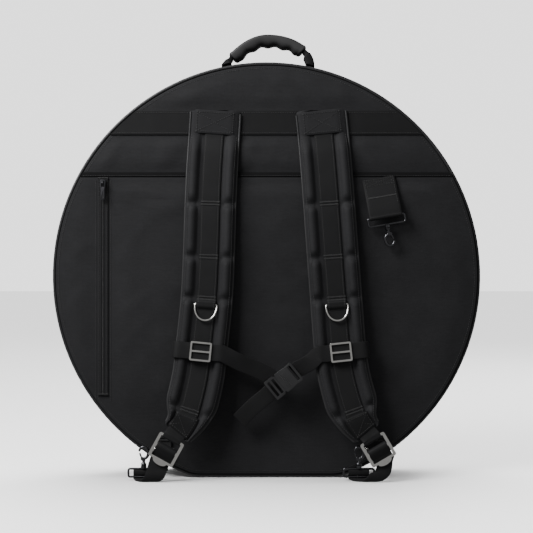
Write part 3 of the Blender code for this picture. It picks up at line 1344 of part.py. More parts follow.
def make_buckle():
    place = buckle_frame()
    half = BUCKLE_WIDTH / 2
    start = FEMALE_MOUTH
    end = start + FEMALE_LENGTH
    waist = half - FEMALE_WALL / 2
    shoulder = start + FEMALE_LENGTH * FEMALE_SHOULDER_SHARE
    narrow = start + FEMALE_LENGTH * FEMALE_WAIST_SHARE
    outline = [(start, -half), (shoulder, -half), (narrow, -waist), (end - FEMALE_WALL, -half),
               (end, -half + FEMALE_WALL), (end, half - FEMALE_WALL), (end - FEMALE_WALL, half),
               (narrow, waist), (shoulder, half), (start, half)]
    slot_end = end - FEMALE_SLOT_BAR
    slot_start = slot_end - FEMALE_SLOT
    gap = half - FEMALE_SLOT_BAR
    slot = [(slot_start, -gap), (slot_end, -gap), (slot_end, gap), (slot_start, gap)]
    female = plate("buckle_female", PLASTIC, [outline, slot], BUCKLE_THICKNESS, place, BUCKLE_EDGE)
    room = MALE_THICKNESS + 2 * RUNNING_GAP
    cavity_width = BUCKLE_WIDTH - 2 * FEMALE_WALL
    cavity = box("buckle_cavity", PLASTIC, (2 * FEMALE_CAVITY, cavity_width, room),
                 place @ Matrix.Translation((start, 0, 0)))
    combine(female, cavity, "DIFFERENCE")
    window_length = FEMALE_WINDOW_END - FEMALE_WINDOW_START
    window_middle = start + FEMALE_WINDOW_START + window_length / 2
    windows = box("buckle_windows", PLASTIC, (window_length, 2 * BUCKLE_WIDTH, room - RUNNING_GAP),
                  place @ Matrix.Translation((window_middle, 0, 0)))
    combine(female, windows, "DIFFERENCE")
    prong_half = cavity_width / 2 - RUNNING_GAP
    base = start - RUNNING_GAP
    back = base - MALE_BASE_LENGTH
    tip = base + MALE_PRONG_LENGTH - RUNNING_GAP
    prong_in = prong_half - MALE_PRONG
    guide = MALE_GUIDE / 2
    neck = base - MALE_SHOULDER
    shoulder = neck - MALE_SHOULDER
    outline = [(back, -half), (shoulder, -half), (neck, -prong_half), (tip - MALE_PRONG, -prong_half),
               (tip, -prong_half + MALE_PRONG / 2), (tip - MALE_PRONG / 2, -prong_in),
               (base + MALE_PRONG / 2, -prong_in), (base + MALE_PRONG / 2, -guide),
               (tip - MALE_PRONG, -guide), (tip - MALE_PRONG, guide), (base + MALE_PRONG / 2, guide),
               (base + MALE_PRONG / 2, prong_in), (tip - MALE_PRONG / 2, prong_in),
               (tip, prong_half - MALE_PRONG / 2), (tip - MALE_PRONG, prong_half), (neck, prong_half),
               (shoulder, half), (back, half)]
    slots = []
    slot_length = (MALE_BASE_LENGTH - 3 * MALE_BAR) / 2
    for n in (0, 1):
        low = back + MALE_BAR + n * (slot_length + MALE_BAR)
        high = low + slot_length
        slots.append([(low, -gap), (high, -gap), (high, gap), (low, gap)])
    male = plate("buckle_male", PLASTIC, [outline, *slots], MALE_THICKNESS, place)
    ride("buckle_axis", place.translation, [male])


# Webbing tab with the third hook
def make_shoulder_tab():
    """A webbing tab from the pocket's seam, looped on the bar of a swivel hook."""
    bar = Vector((TAB_FOOT_PLACE, POCKET_FACE - TAB_BAR_OFF, TAB_BAR_HEIGHT))
    top = Vector((TAB_TOP_PLACE, POCKET_FACE - 2 * CLEARANCE - WEB, TAB_TOP_HEIGHT))
    down = (bar - top).normalized()
    lean = Vector((down.x, 0, down.z)).normalized()
    across = Vector((-lean.z, 0, lean.x))
    out = lean.cross(across)
    loop = FRAME_WIRE + CLEARANCE + WEB / 2
    points = [top, *(top.lerp(bar, along) + out * (loop * off) for along, off in TAB_BOW_SHARES)]
    for degrees in TAB_WRAP_DEGREES:
        angle = math.radians(degrees)
        points.append(bar + (out * math.cos(angle) - lean * math.sin(angle)) * loop)
    tab = ribbon("shoulder_tab", smooth_route(points, TAB_STEPS), lambda n: across, TAB_WIDTH)
    turn = Matrix((across, -out, -lean)).transposed().to_4x4()
    place = Matrix.Translation(bar) @ turn
    frame = make_hook("shoulder", TAB_WIDTH, place)
    ride("shoulder_tab_axis", top, [tab, frame])


def lower_hook_place(side):
    """The lower hooks stand on their frames: bar at the floor, hook upwards."""
    centre = (LOWER_HOOK_PLACES[side], LOWER_HOOK_Y, LOWER_HOOK_BAR_HEIGHT)
    return Matrix.Translation(centre) @ Matrix.Rotation(math.pi, 4, "Y")


def build():
    make_case()
    make_base_guard()
    make_lower_front()
    lid_pieces = make_lid()
    ride("lid_axis", (0, LID_FACE, FOLD_HEIGHT), lid_pieces)
    make_strap_side()
    make_sliders()
    make_dividers()
    make_handle()
    straps = {side: Strap(side) for side in ("left", "right")}
    for side, strap in straps.items():
        hinge = (strap.sign * PAD_WIDTH, STRAP_SEAT, BAND_TOP)
        pieces = [make_pad(strap), make_strap_webbing(strap), make_ladder_lock(strap), make_adjuster(strap)]
        make_strap_ring(strap)
        make_gusset_ring(side)
        pieces.append(make_sternum_slider(strap))
        frame = make_hook(side, LOWER_FRAME_WIDTH, lower_hook_place(side))
        ride("strap_axis_" + side, hinge, [*pieces, frame])
    make_sternum(straps["left"], straps["right"])
    make_buckle()
    make_shoulder_tab()


build()
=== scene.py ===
"""A round cymbal bag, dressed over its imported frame, piece by piece in the order it is sewn.

The bag stands on its flat foot. +Z is up and the strap side faces -Y. All sizes are in metres.
"""
import math

import bmesh
import bpy
from mathutils import Matrix, Vector, noise


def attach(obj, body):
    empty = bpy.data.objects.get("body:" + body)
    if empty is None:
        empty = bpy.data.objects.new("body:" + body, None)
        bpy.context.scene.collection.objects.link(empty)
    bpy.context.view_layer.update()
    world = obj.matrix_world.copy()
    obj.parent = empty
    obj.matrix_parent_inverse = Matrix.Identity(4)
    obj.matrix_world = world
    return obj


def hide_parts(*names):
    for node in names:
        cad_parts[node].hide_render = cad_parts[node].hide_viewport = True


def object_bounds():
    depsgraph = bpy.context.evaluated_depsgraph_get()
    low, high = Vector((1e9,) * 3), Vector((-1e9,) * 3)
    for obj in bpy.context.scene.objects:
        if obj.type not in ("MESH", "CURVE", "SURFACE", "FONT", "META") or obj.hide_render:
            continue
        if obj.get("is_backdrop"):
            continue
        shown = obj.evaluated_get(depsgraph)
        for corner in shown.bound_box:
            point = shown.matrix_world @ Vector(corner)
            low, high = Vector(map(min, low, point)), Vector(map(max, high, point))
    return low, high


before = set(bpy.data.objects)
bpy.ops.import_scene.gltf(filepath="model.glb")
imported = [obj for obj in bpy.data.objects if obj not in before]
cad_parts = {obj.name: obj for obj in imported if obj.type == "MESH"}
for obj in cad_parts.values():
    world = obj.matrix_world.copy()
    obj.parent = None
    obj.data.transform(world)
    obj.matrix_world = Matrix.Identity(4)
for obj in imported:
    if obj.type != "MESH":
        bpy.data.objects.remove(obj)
cad_low, cad_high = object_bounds()

# Back panel. Padded polyester over foam, cut as a circle with a flat foot, and sewn to the
# gusset all round under the piping. The class and functions for cloth start here.
CASE_RADIUS = 0.3165
CASE_MIDDLE = 0.2980
CORNER_RADIUS = 0.0600
CORNER_HEIGHT = 0.0608
CORNER_PLACE = math.sqrt((CASE_RADIUS - CORNER_RADIUS) ** 2 - (CASE_MIDDLE - CORNER_HEIGHT) ** 2)
CORNER_COS = math.cos(math.atan2(CORNER_PLACE, CASE_MIDDLE - CORNER_HEIGHT))
FOOT_STEPS = 24
HALF_DEPTH = 0.0450
PANEL_THICKNESS = 0.0080
PANEL_INSET = 0.0053
RIM_STEP = math.radians(2)
POLYESTER = (0.0165, 0.0165, 0.0178)
LINING = (0.050, 0.050, 0.055)
CLOTH_SHINE = 0.16
WEAVE_DEPTH = 0.00016


class Thread:
    """One value in a finish. Arithmetic on it adds Math nodes to the finish."""

    def __init__(self, tree, socket):
        self.tree, self.socket = tree, socket

    def add(self, kind, values=(), out=0, **settings):
        node = self.tree.nodes.new(kind)
        for key, value in settings.items():
            setattr(node, key, value)
        for place, value in dict(values).items():
            if isinstance(value, Thread):
                self.tree.links.new(value.socket, node.inputs[place])
            else:
                node.inputs[place].default_value = value
        return Thread(self.tree, node.outputs[out])

    def maths(self, operation, *values):
        return self.add("ShaderNodeMath", enumerate(values), operation=operation)

    def __add__(self, other):
        return self.maths("ADD", self, other)

    def __mul__(self, other):
        return self.maths("MULTIPLY", self, other)

    def __sub__(self, other):
        return self.maths("SUBTRACT", self, other)

    def __rsub__(self, other):
        return self.maths("SUBTRACT", other, self)

    __radd__ = __add__
    __rmul__ = __mul__

    def wave(self, pitch):
        """A sine of 0 to 1 along this value, one full wave to a pitch."""
        return self.maths("SINE", self * (math.tau / pitch)) * 0.5 + 0.5

    def noise(self, scale, detail=2.0, finer=None):
        """Noise over the piece's own space, this many times finer along each axis."""
        spot = self.add("ShaderNodeTexCoord", out=3)
        if finer:
            spot = self.add("ShaderNodeMapping", {"Vector": spot, "Scale": finer})
        return self.add("ShaderNodeTexNoise", {"Vector": spot, "Scale": scale, "Detail": detail})

    def cloth_ways(self):
        """How far along and across the cloth a point lies, in metres."""
        along = self.add("ShaderNodeSeparateXYZ", {0: self.add("ShaderNodeUVMap")})
        return along, Thread(self.tree, along.socket.node.outputs[1])

    def into(self, shader, socket):
        self.tree.links.new(self.socket, shader.inputs[socket])


def finish(name, colour, roughness, metallic=0.0, sheen=0.0, shine=0.5):
    """A new finish: its material, its shader and a first thread to spin values from."""
    made = bpy.data.materials.new(name)
    made.use_nodes = True
    shader = made.node_tree.nodes["Principled BSDF"]
    values = {"Base Color": (*colour, 1), "Roughness": roughness, "Metallic": metallic,
              "Sheen Weight": sheen, "Sheen Roughness": 0.4, "Specular IOR Level": shine}
    for socket, value in values.items():
        shader.inputs[socket].default_value = value
    made.diffuse_color = (*colour, 1)
    return made, shader, Thread(made.node_tree, None)


def tinted(shader, colour, amount, spread):
    """Lets the colour drift a little lighter and darker, as the amount says."""
    low, high = ((*(part * share for part in colour), 1) for share in (1 - spread, 1 + spread))
    mixed = amount.add("ShaderNodeMix", {0: amount, 6: low, 7: high}, out=2, data_type="RGBA")
    mixed.into(shader, "Base Color")


def raised(shader, height, strength, distance):
    """Feeds a height in 0 to 1 to the surface as a bump this deep."""
    values = {"Strength": strength, "Distance": distance, "Height": height}
    height.add("ShaderNodeBump", values).into(shader, "Normal")


def woven(name, colour, roughness, pitch, sheen=0.03):
    """Plain-woven cloth: threads that pass over and under, with slubs, grain and a faint mottle."""
    made, shader, start = finish(name, colour, roughness, sheen=sheen, shine=CLOTH_SHINE)
    along, across = start.cloth_ways()
    over = along.wave(pitch) * across.wave(2 * pitch)
    under = across.wave(pitch) * (1 - along.wave(2 * pitch))
    weave = over.maths("MAXIMUM", over, under)
    mottle, cloud = start.noise(34.0, 4.0), start.noise(5.0)
    slub, grain = start.noise(95.0, 3.0, finer=(1.0, 1.0, 7.0)), start.noise(520.0)
    amount = weave * 0.20 + mottle * 0.20 + cloud * 0.20 + slub * 0.20 + grain * 0.20
    tinted(shader, colour, (amount - 0.5) * 2.6 + 0.5, 0.42)
    (mottle * 0.14 + (roughness - 0.07)).into(shader, "Roughness")
    raised(shader, weave * 0.75 + mottle * 0.25, 0.8, WEAVE_DEPTH)
    return made


polyester = woven("black_polyester", POLYESTER, 0.72, 0.0009)
lining = woven("grey_lining", LINING, 0.8, 0.0007)


def rim(start, end, step=RIM_STEP):
    """Stations round the rim, clockwise seen from the straps: an outer point and its outward way."""
    tiny = step / 1000
    inner = range(math.ceil((start + tiny) / step), math.floor((end - tiny) / step) + 1)
    stations = []
    for angle in [start, *(k * step for k in inner), end]:
        if abs(abs(angle) - math.pi) < tiny:
            for n in range(FOOT_STEPS + 1):
                x = CORNER_PLACE * (1 - 2 * n / FOOT_STEPS)
                stations.append((Vector((x, 0, CORNER_HEIGHT - CORNER_RADIUS)), Vector((0, 0, -1))))
            continue
        way = Vector((math.sin(angle), 0, math.cos(angle)))
        centre, reach = Vector((0, 0, CASE_MIDDLE)), CASE_RADIUS
        if -way.z > CORNER_COS:
            side = 1 if math.sin(angle) > 0 else -1
            centre, reach = Vector((side * CORNER_PLACE, 0, CORNER_HEIGHT)), CORNER_RADIUS
        stations.append((centre + way * reach, way))
    return stations


def skin(name, rings, cloth, closed=False, uv=None):
    """Closes a run of rings of points into one solid, with a UV map in metres.

    uv(i, j, point) places a corner; without it the map runs along and round the piece.
    """
    count = len(rings[0])
    points = [point for ring in rings for point in ring]
    total = len(rings)
    along = [0.0]
    for before, after in zip(rings, [*rings[1:], rings[0]]):
        along.append(along[-1] + (after[0] - before[0]).length)
    around = []
    for ring in rings:
        reach = [0.0]
        for before, after in zip(ring, [*ring[1:], ring[0]]):
            reach.append(reach[-1] + (after - before).length)
        around.append(reach)

    def spot(i, j):
        point = rings[i % total][j % count]
        return uv(i, j, point) if uv else (along[i], around[i % total][j])

    faces = []
    spots = []
    for i in range(total if closed else total - 1):
        for j in range(count):
            corners = ((i, j), (i, j + 1), (i + 1, j + 1), (i + 1, j))
            faces.append([(a % total) * count + b % count for a, b in corners])
            spots += [spot(a, b) for a, b in corners]
    if not closed:
        for i in (0, total - 1):
            ring = rings[i]
            centre = sum(ring, Vector()) / count
            points.append(centre)
            middle = uv(i, 0, centre) if uv else (along[i], around[i][count] / 2)
            for j in range(count):
                faces.append([i * count + j, i * count + (j + 1) % count, len(points) - 1])
                spots += [spot(i, j), spot(i, j + 1), middle]
    mesh = bpy.data.meshes.new(name)
    mesh.from_pydata(points, [], faces)
    layer = mesh.uv_layers.new(name="cloth")
    for corner, (u, v) in zip(layer.data, spots):
        corner.uv = (u, v)
    return settle(name, mesh, cloth)


def hung(name, data):
    """A new object for a mesh, curve, lamp or camera, hung in the scene."""
    made = bpy.data.objects.new(name, data)
    bpy.context.scene.collection.objects.link(made)
    return made


def settle(name, mesh, cloth, angle=42):
    """Welds a mesh, turns its faces outwards, smooths it and hangs it in the scene."""
    build = bmesh.new()
    build.from_mesh(mesh)
    bmesh.ops.remove_doubles(build, verts=build.verts[:], dist=0.000002)
    bmesh.ops.recalc_face_normals(build, faces=build.faces[:])
    if build.calc_volume(signed=True) < 0:
        bmesh.ops.reverse_faces(build, faces=build.faces[:])
    build.to_mesh(mesh)
    build.free()
    mesh.materials.clear()
    mesh.materials.append(cloth)
    mesh.shade_smooth()
    mesh.set_sharp_from_angle(angle=math.radians(angle))
    return hung(name, mesh)


def fit(piece, body, slot, *nodes):
    """The piece rides with a body and stands for these CAD nodes, which it hides; slot is not used."""
    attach(piece, body)
    if nodes:
        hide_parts(*nodes)
    return piece


def lay_flat(i, j, point):
    return point.x, point.z


def leaf(name, outline, hub, face, back, puff, cloth, edge=0.0016, steps=30):
    """A sewn panel in the XZ plane, from its back skin to a face that puff(x, z, inside) lifts.

    face and back are distances from the middle of the case, with their sign along Y.
    """
    out = 1 if face > back else -1
    hub = Vector((hub[0], 0, hub[1]))
    rings = [[hub + (p - hub) * share + Vector((0, back, 0)) for p in outline]
             for share in (0.02, 0.55, 0.985)]
    rings += [[p + Vector((0, y, 0)) for p in outline] for y in (back + out * 0.0004, face - out * edge)]
    for drop, pull in ((0.42, 0.10), (0.10, 0.45)):
        down = Vector((0, face - out * edge * drop, 0))
        rings.append([p + (hub - p).normalized() * edge * pull + down for p in outline])
    for n in range(steps):
        ring = []
        for p in outline:
            span = (p - hub).length
            inside = edge + n / steps * (span - edge)
            place = p + (hub - p).normalized() * min(inside, span * 0.985)
            lift = puff(place.x, place.z, inside - edge) if n else 0
            ring.append(Vector((place.x, face + out * lift, place.z)))
        rings.append(ring)
    return skin(name, rings, cloth, uv=lay_flat)


def ease(value, start, span):
    """0 before start, 1 after start + span, smooth between."""
    t = min(max((value - start) / span, 0), 1)
    return t * t * (3 - 2 * t)


def rumple(x, z, scale, seed):
    """Slow, soft unevenness from -1 to 1."""
    return noise.noise(Vector((x / scale, seed, z / scale)))


def crease(x, z, steep, seed):
    """Long soft folds, 0 between them and 1 on their crests, that climb to the middle on both sides."""
    folds = []
    for angle in (math.radians(steep), math.radians(180 - steep)):
        along = x * math.cos(angle) + z * math.sin(angle)
        across = z * math.cos(angle) - x * math.sin(angle)
        fold = noise.noise(Vector((along / 0.17, across / 0.042, seed + angle)))
        folds.append(max(1 - 3.0 * abs(fold), 0) ** 2)
    return folds[0] + (folds[1] - folds[0]) * ease(x, -0.10, 0.20)


def round_outline(inset):
    return [point - way * inset for point, way in rim(0, math.tau)[:-1]]


def back_puff(x, z, inside):
    """The foam shows above the pocket; under the pocket and the band it lies flat."""
    free = ease(z, 0.455, 0.010) * (1 - ease(z, 0.492, 0.010)) + ease(z, 0.548, 0.012)
    fold = crease(x, z, 66, 2.3)
    swell = 0.0018 + 0.0010 * rumple(x, z, 0.070, 3) + 0.0020 * fold
    return max(swell, 0) * free * ease(inside, 0.0, 0.022)


back_panel = leaf("bag_back", round_outline(PANEL_INSET), (0, CASE_MIDDLE), -HALF_DEPTH,
                  -HALF_DEPTH + PANEL_THICKNESS, back_puff, polyester, steps=44)
fit(back_panel, "case", "black_polyester", "back_panel")

# Gussets. Padded polyester strips bent round the rim; the rear one is sewn to the back panel, the
# base one joins both halves under the guard and keeps the lid's hinge.
GUSSET_INSET = 0.0010
GUSSET_THICKNESS = 0.0040
GUSSET_FULLNESS = 0.0008
BASE_INSET = 0.0028
SMALL_GAP = 0.0003
PIPING_RADIUS = 0.0025
GUSSET_EDGE = HALF_DEPTH - (2 * PIPING_RADIUS + SMALL_GAP)
ZIP_END = math.radians(138)
ZIP_SPAN = (-ZIP_END + 0.001, ZIP_END - 0.001)
ZIP_MIDDLE = 0.0140
TAPE_WIDTH = 0.0065
SEAM_EDGE = ZIP_MIDDLE - SMALL_GAP / 2 - TAPE_WIDTH - SMALL_GAP
LID_SEAM_EDGE = 2 * ZIP_MIDDLE - SEAM_EDGE


def along_rim(name, section, start, end, cloth, closed=False, step=RIM_STEP):
    """A strip round the rim: section(n, point) gives its corners as (Y, inset from the rim)."""
    stations = rim(start, end, step)
    if closed:
        stations = stations[:-1]
    rings = [[point - way * inset + Vector((0, y, 0)) for y, inset in section(n, point)]
             for n, (point, way) in enumerate(stations)]
    return skin(name, rings, cloth, closed)


def gusset_section(low, high):
    """Both skins of a padded strip from Y low to high, its outer skin a little full."""
    def section(n, point):
        corners = []
        for k in range(11):
            share = k / 10
            full = 1 - abs(2 * share - 1) ** 3
            wave = 1 + 0.5 * noise.noise(Vector((point.x * 14, share * 1.6, point.z * 14)))
            corners.append((low + (high - low) * share, GUSSET_INSET - GUSSET_FULLNESS * full * wave))
        inner = GUSSET_INSET + GUSSET_THICKNESS
        return corners + [(high, inner), ((low + high) / 2, inner), (low, inner)]
    return section


rear_gusset = along_rim("bag_rear_gusset", gusset_section(-GUSSET_EDGE, SEAM_EDGE), *ZIP_SPAN, polyester)
fit(rear_gusset, "case", "black_polyester", "rear_gusset")


def base_section(n, point):
    inner = GUSSET_INSET + GUSSET_THICKNESS
    return ([(y, BASE_INSET) for y in (-GUSSET_EDGE, 0, GUSSET_EDGE)]
            + [(y, inner) for y in (GUSSET_EDGE, 0, -GUSSET_EDGE)])


base_gusset = along_rim("bag_base_gusset", base_section, ZIP_END, math.tau - ZIP_END, lining)
fit(base_gusset, "case", "black_polyester", "base_gusset")

# Piping. A cord in a folded strip of coated cloth, caught in the seam where panel meets gusset;
# on the lid it stops at the hinge.
PIPING = (0.016, 0.016, 0.017)
piping, piping_shader, thread = finish("black_piping", PIPING, 0.46, sheen=0.03, shine=0.4)
along, across = thread.cloth_ways()
twill = (along + across * 0.6).wave(0.0011)
scuff = thread.noise(60.0, 3.0)
tinted(piping_shader, PIPING, scuff, 0.35)
raised(piping_shader, twill * 0.6 + scuff * 0.4, 0.6, 0.00012)


def cord_section(middle):
    """The piping's round bead, pulled a little tighter every few stitches."""
    def section(n, point):
        tight = 1 - 0.05 * (0.5 + 0.5 * math.sin(n * 2.4))
        corners = []
        for k in range(14):
            turn = math.tau * k / 14
            corners.append((middle + PIPING_RADIUS * tight * math.cos(turn),
                            PIPING_RADIUS - PIPING_RADIUS * tight * math.sin(turn)))
        return corners
    return section


back_piping = along_rim("bag_back_piping", cord_section(-HALF_DEPTH + PIPING_RADIUS), 0, math.tau, piping,
                        closed=True, step=RIM_STEP / 2)
fit(back_piping, "case", "black_piping", "back_piping")
lid_piping = along_rim("bag_lid_piping", cord_section(HALF_DEPTH - PIPING_RADIUS), *ZIP_SPAN, piping,
                       step=RIM_STEP / 2)
fit(lid_piping, "lid", "black_piping", "lid_piping")

# Base guard. A moulded rubber strip with ribs across it, sewn over the foot and up both corners,
# that the bag stands on.
RUBBER = (0.0150, 0.0150, 0.0155)
GUARD_THICKNESS = 0.0025
RIB_PROUD = 0.0008
RIB_DEPTH = 0.0014
RIB_COUNT, RIB_STEPS = 59, 8
GUARD_CHAMFER = 0.0006
rubber, rubber_shader, thread = finish("black_rubber", RUBBER, 0.58)
dust = thread.noise(26.0, 4.0)
tinted(rubber_shader, RUBBER, dust, 0.45)
(dust * 0.25 + 0.45).into(rubber_shader, "Roughness")
raised(rubber_shader, thread.noise(900.0), 0.35, 0.00010)

fine = rim(ZIP_END, math.tau - ZIP_END, RIM_STEP / 4)
reach = [0.0]
for (before, _), (after, _) in zip(fine, fine[1:]):
    reach.append(reach[-1] + (after - before).length)
rings = []
for n in range(RIB_COUNT * RIB_STEPS + 1):
    goal = reach[-1] * n / (RIB_COUNT * RIB_STEPS)
    k = max(min(sum(1 for mark in reach if mark <= goal) - 1, len(fine) - 2), 0)
    mix = (goal - reach[k]) / (reach[k + 1] - reach[k])
    point = fine[k][0].lerp(fine[k + 1][0], mix)
    way = fine[k][1].lerp(fine[k + 1][1], mix).normalized()
    past = n % RIB_STEPS
    crest = min(1, 1.7 * math.sin(math.pi * past / RIB_STEPS)) if past else 0
    top = -(RIB_PROUD - RIB_DEPTH * (1 - crest))
    ring = [(-GUSSET_EDGE, top + GUARD_CHAMFER), (-GUSSET_EDGE + GUARD_CHAMFER, top), (0, top),
            (GUSSET_EDGE - GUARD_CHAMFER, top), (GUSSET_EDGE, top + GUARD_CHAMFER),
            (GUSSET_EDGE, GUARD_THICKNESS), (0, GUARD_THICKNESS), (-GUSSET_EDGE, GUARD_THICKNESS)]
    rings.append([point - way * inset + Vector((0, y, 0)) for y, inset in ring])
base_guard = skin("bag_base_guard", rings, rubber)
fit(base_guard, "case", "black_rubber", "base_guard")

# Main zip. Two woven tapes with nylon coils that meet on the middle of the gusset; one tape is sewn
# to the case and one to the lid. The coils, and later the stitches, are beads laid along a line.
ZIP_TAPE = (0.0140, 0.0140, 0.0150)
NYLON = (0.0260, 0.0260, 0.0270)
TAPE_INSET = 0.0018
TAPE_THICKNESS = 0.0009
TOOTH_PITCH = 0.0021
TOOTH_SIZE = (0.0016, 0.0026, 0.0020)
zip_tape = woven("zip_tape", ZIP_TAPE, 0.8, 0.0007)
nylon, nylon_shader, thread = finish("nylon_coil", NYLON, 0.38)
raised(nylon_shader, thread.noise(300.0), 0.2, 0.00005)


def row_tree():
    """The node tree that lays evenly spaced beads along a line, upright on its outward ways."""
    tree = bpy.data.node_groups.new("row_of_beads", "GeometryNodeTree")
    tree.is_modifier = True
    sockets = (("Line", "Geometry", None), ("Spacing", "Float", 0.003), ("Bead Size", "Vector", (1, 1, 1)),
               ("Segments", "Int", 6), ("Rings", "Int", 4), ("Unevenness", "Float", 0.1), ("Seed", "Int", 7),
               ("Finish", "Material", None))
    for label, kind, value in sockets:
        socket = tree.interface.new_socket(label, in_out="INPUT", socket_type="NodeSocket" + kind)
        if value is not None:
            socket.default_value = value
    tree.interface.new_socket("Beads", in_out="OUTPUT", socket_type="NodeSocketGeometry")
    given = tree.nodes.new("NodeGroupInput").outputs

    def step(kind, links, **settings):
        """Adds a node and gives its outputs."""
        node = tree.nodes.new(kind)
        for key, value in settings.items():
            setattr(node, key, value)
        for place, value in links.items():
            if isinstance(value, bpy.types.NodeSocket):
                tree.links.new(value, node.inputs[place])
            else:
                node.inputs[place].default_value = value
        return node.outputs

    curve = step("GeometryNodeMeshToCurve", {"Mesh": given["Line"]})
    points = step("GeometryNodeCurveToPoints", {"Curve": curve[0], "Length": given["Spacing"]}, mode="LENGTH")
    out = step("GeometryNodeInputNamedAttribute", {"Name": "out"}, data_type="FLOAT_VECTOR")
    ahead = step("FunctionNodeAlignRotationToVector", {"Vector": points["Tangent"]}, axis="X")
    upright = step("FunctionNodeAlignRotationToVector", {"Rotation": ahead[0], "Vector": out["Attribute"]},
                   axis="Z", pivot_axis="X")
    low, high = (step("ShaderNodeMath", {0: 1.0, 1: given["Unevenness"]}, operation=kind)
                 for kind in ("SUBTRACT", "ADD"))
    chance = step("FunctionNodeRandomValue", {0: low[0], 1: high[0], "Seed": given["Seed"]},
                  data_type="FLOAT_VECTOR")
    size = step("ShaderNodeVectorMath", {0: given["Bead Size"], 1: chance[0]}, operation="MULTIPLY")
    bead = step("GeometryNodeMeshUVSphere",
                {"Segments": given["Segments"], "Rings": given["Rings"], "Radius": 0.5})
    laid = step("GeometryNodeInstanceOnPoints", {"Points": points["Points"], "Instance": bead[0],
                                                 "Rotation": upright[0], "Scale": size[0]})
    real = step("GeometryNodeRealizeInstances", {"Geometry": laid[0]})
    dyed = step("GeometryNodeSetMaterial", {"Geometry": real[0], "Material": given["Finish"]})
    tree.links.new(dyed[0], tree.nodes.new("NodeGroupOutput").inputs[0])
    return tree


row_of_beads = row_tree()


def plain_mesh(piece):
    """The mesh of a piece as its modifiers leave it."""
    seen = piece.evaluated_get(bpy.context.evaluated_depsgraph_get())
    return bpy.data.meshes.new_from_object(seen)


def beads(name, lines, spacing, size, cloth, segments=6, turns=4, uneven=0.06):
    """Beads along each line of (point, outward way) pairs, as one plain mesh object."""
    points, ways, edges = [], [], []
    for line in lines:
        first = len(points)
        points += [point for point, way in line]
        ways += [way for point, way in line]
        edges += [(first + n, first + n + 1) for n in range(len(line) - 1)]
    mesh = bpy.data.meshes.new(name + "_line")
    mesh.from_pydata(points, edges, [])
    out = mesh.attributes.new("out", "FLOAT_VECTOR", "POINT")
    out.data.foreach_set("vector", [part for way in ways for part in way])
    guide = bpy.data.objects.new(name + "_line", mesh)
    row = guide.modifiers.new("row_of_beads", "NODES")
    row.node_group = row_of_beads
    values = {"Spacing": spacing, "Bead Size": size, "Segments": segments, "Rings": turns,
              "Unevenness": uneven, "Seed": 7, "Finish": cloth}
    for item in row_of_beads.interface.items_tree:
        if item.in_out == "INPUT" and item.name in values:
            row[item.identifier] = values[item.name]
    bpy.context.scene.collection.objects.link(guide)
    made = plain_mesh(guide)
    bpy.data.objects.remove(guide)
    made.shade_smooth()
    return hung(name, made)


def coiled(name, line, pitch, size, body):
    """One nylon coil, closed up along a line, on its tape."""
    fit(beads(name, [line], pitch, size, nylon, segments=8, turns=5, uneven=0.02), body, "zip_tape")


def tape_section(edge, middle):
    """A tape from its sewn edge to the middle of the zip, a little thicker at its corded edge."""
    def section(n, point):
        near = edge + (middle - edge) * 0.55
        top, low = TAPE_INSET, TAPE_INSET + TAPE_THICKNESS
        corded = top - 0.0003
        return [(edge, top), (near, top), (near + (middle - edge) * 0.06, corded), (middle, corded),
                (middle, low), (near, low), (edge, low)]
    return section


for body, edge, toward, shift in (("case", SEAM_EDGE + SMALL_GAP, -1, 0.0),
                                  ("lid", LID_SEAM_EDGE - SMALL_GAP, 1, 0.5)):
    middle = ZIP_MIDDLE + toward * SMALL_GAP / 2
    node = ("body" if body == "case" else "lid") + "_zip_tape"
    fit(along_rim("bag_" + node, tape_section(edge, middle), *ZIP_SPAN, zip_tape), body, "zip_tape", node)
    across = middle + toward * (TOOTH_SIZE[1] / 2 - 0.0001)
    start = -ZIP_END + 0.006 + shift * TOOTH_PITCH / CASE_RADIUS
    line = [(point - way * (TAPE_INSET - 0.0002) + Vector((0, across, 0)), way)
            for point, way in rim(start, ZIP_END - 0.006)]
    coiled("coil_" + body, line, TOOTH_PITCH, TOOTH_SIZE, body)

# Lid. The front half of the case above the fold: panel, gusset and half of the zip, hinged on the
# piece below the fold, which is sewn to the base.
FOLD_HEIGHT = CASE_MIDDLE + (CASE_RADIUS - PANEL_INSET) * math.cos(ZIP_END)
LID_FACES = (HALF_DEPTH, HALF_DEPTH - PANEL_THICKNESS)
lid_outline = [point - way * PANEL_INSET for point, way in rim(*ZIP_SPAN)]
lid_outline += [lid_outline[-1].lerp(lid_outline[0], 1 / n) for n in range(12, 1, -1)]


def lid_puff(x, z, inside):
    free = ease(abs(z - 0.25), 0.195, 0.02)
    return (0.0020 + 0.0012 * rumple(x, z, 0.080, 9)) * ease(inside, 0, 0.025) * free


lid_panel = leaf("bag_lid", lid_outline, (0, 0.32), *LID_FACES, lid_puff, polyester, steps=40)
fit(lid_panel, "lid", "black_polyester", "lid_panel")
lid_gusset = along_rim("bag_lid_gusset", gusset_section(LID_SEAM_EDGE, GUSSET_EDGE), *ZIP_SPAN, polyester)
fit(lid_gusset, "lid", "black_polyester", "lid_gusset")


def between(start, end, count=24):
    """Evenly spaced points between two others, without them."""
    return [start.lerp(end, n / count) for n in range(1, count)]


top = FOLD_HEIGHT - SMALL_GAP
foot_outline = [point - way * 0.0002 for point, way in rim(ZIP_END + 0.001, math.tau - ZIP_END - 0.001)]
foot_outline = [p if p.z < top else Vector((p.x, 0, top)) for p in foot_outline]
foot_outline += between(foot_outline[-1], foot_outline[0], 16)


def foot_puff(x, z, inside):
    return (0.0010 + 0.0006 * rumple(x, z, 0.06, 5)) * ease(inside, 0, 0.012)


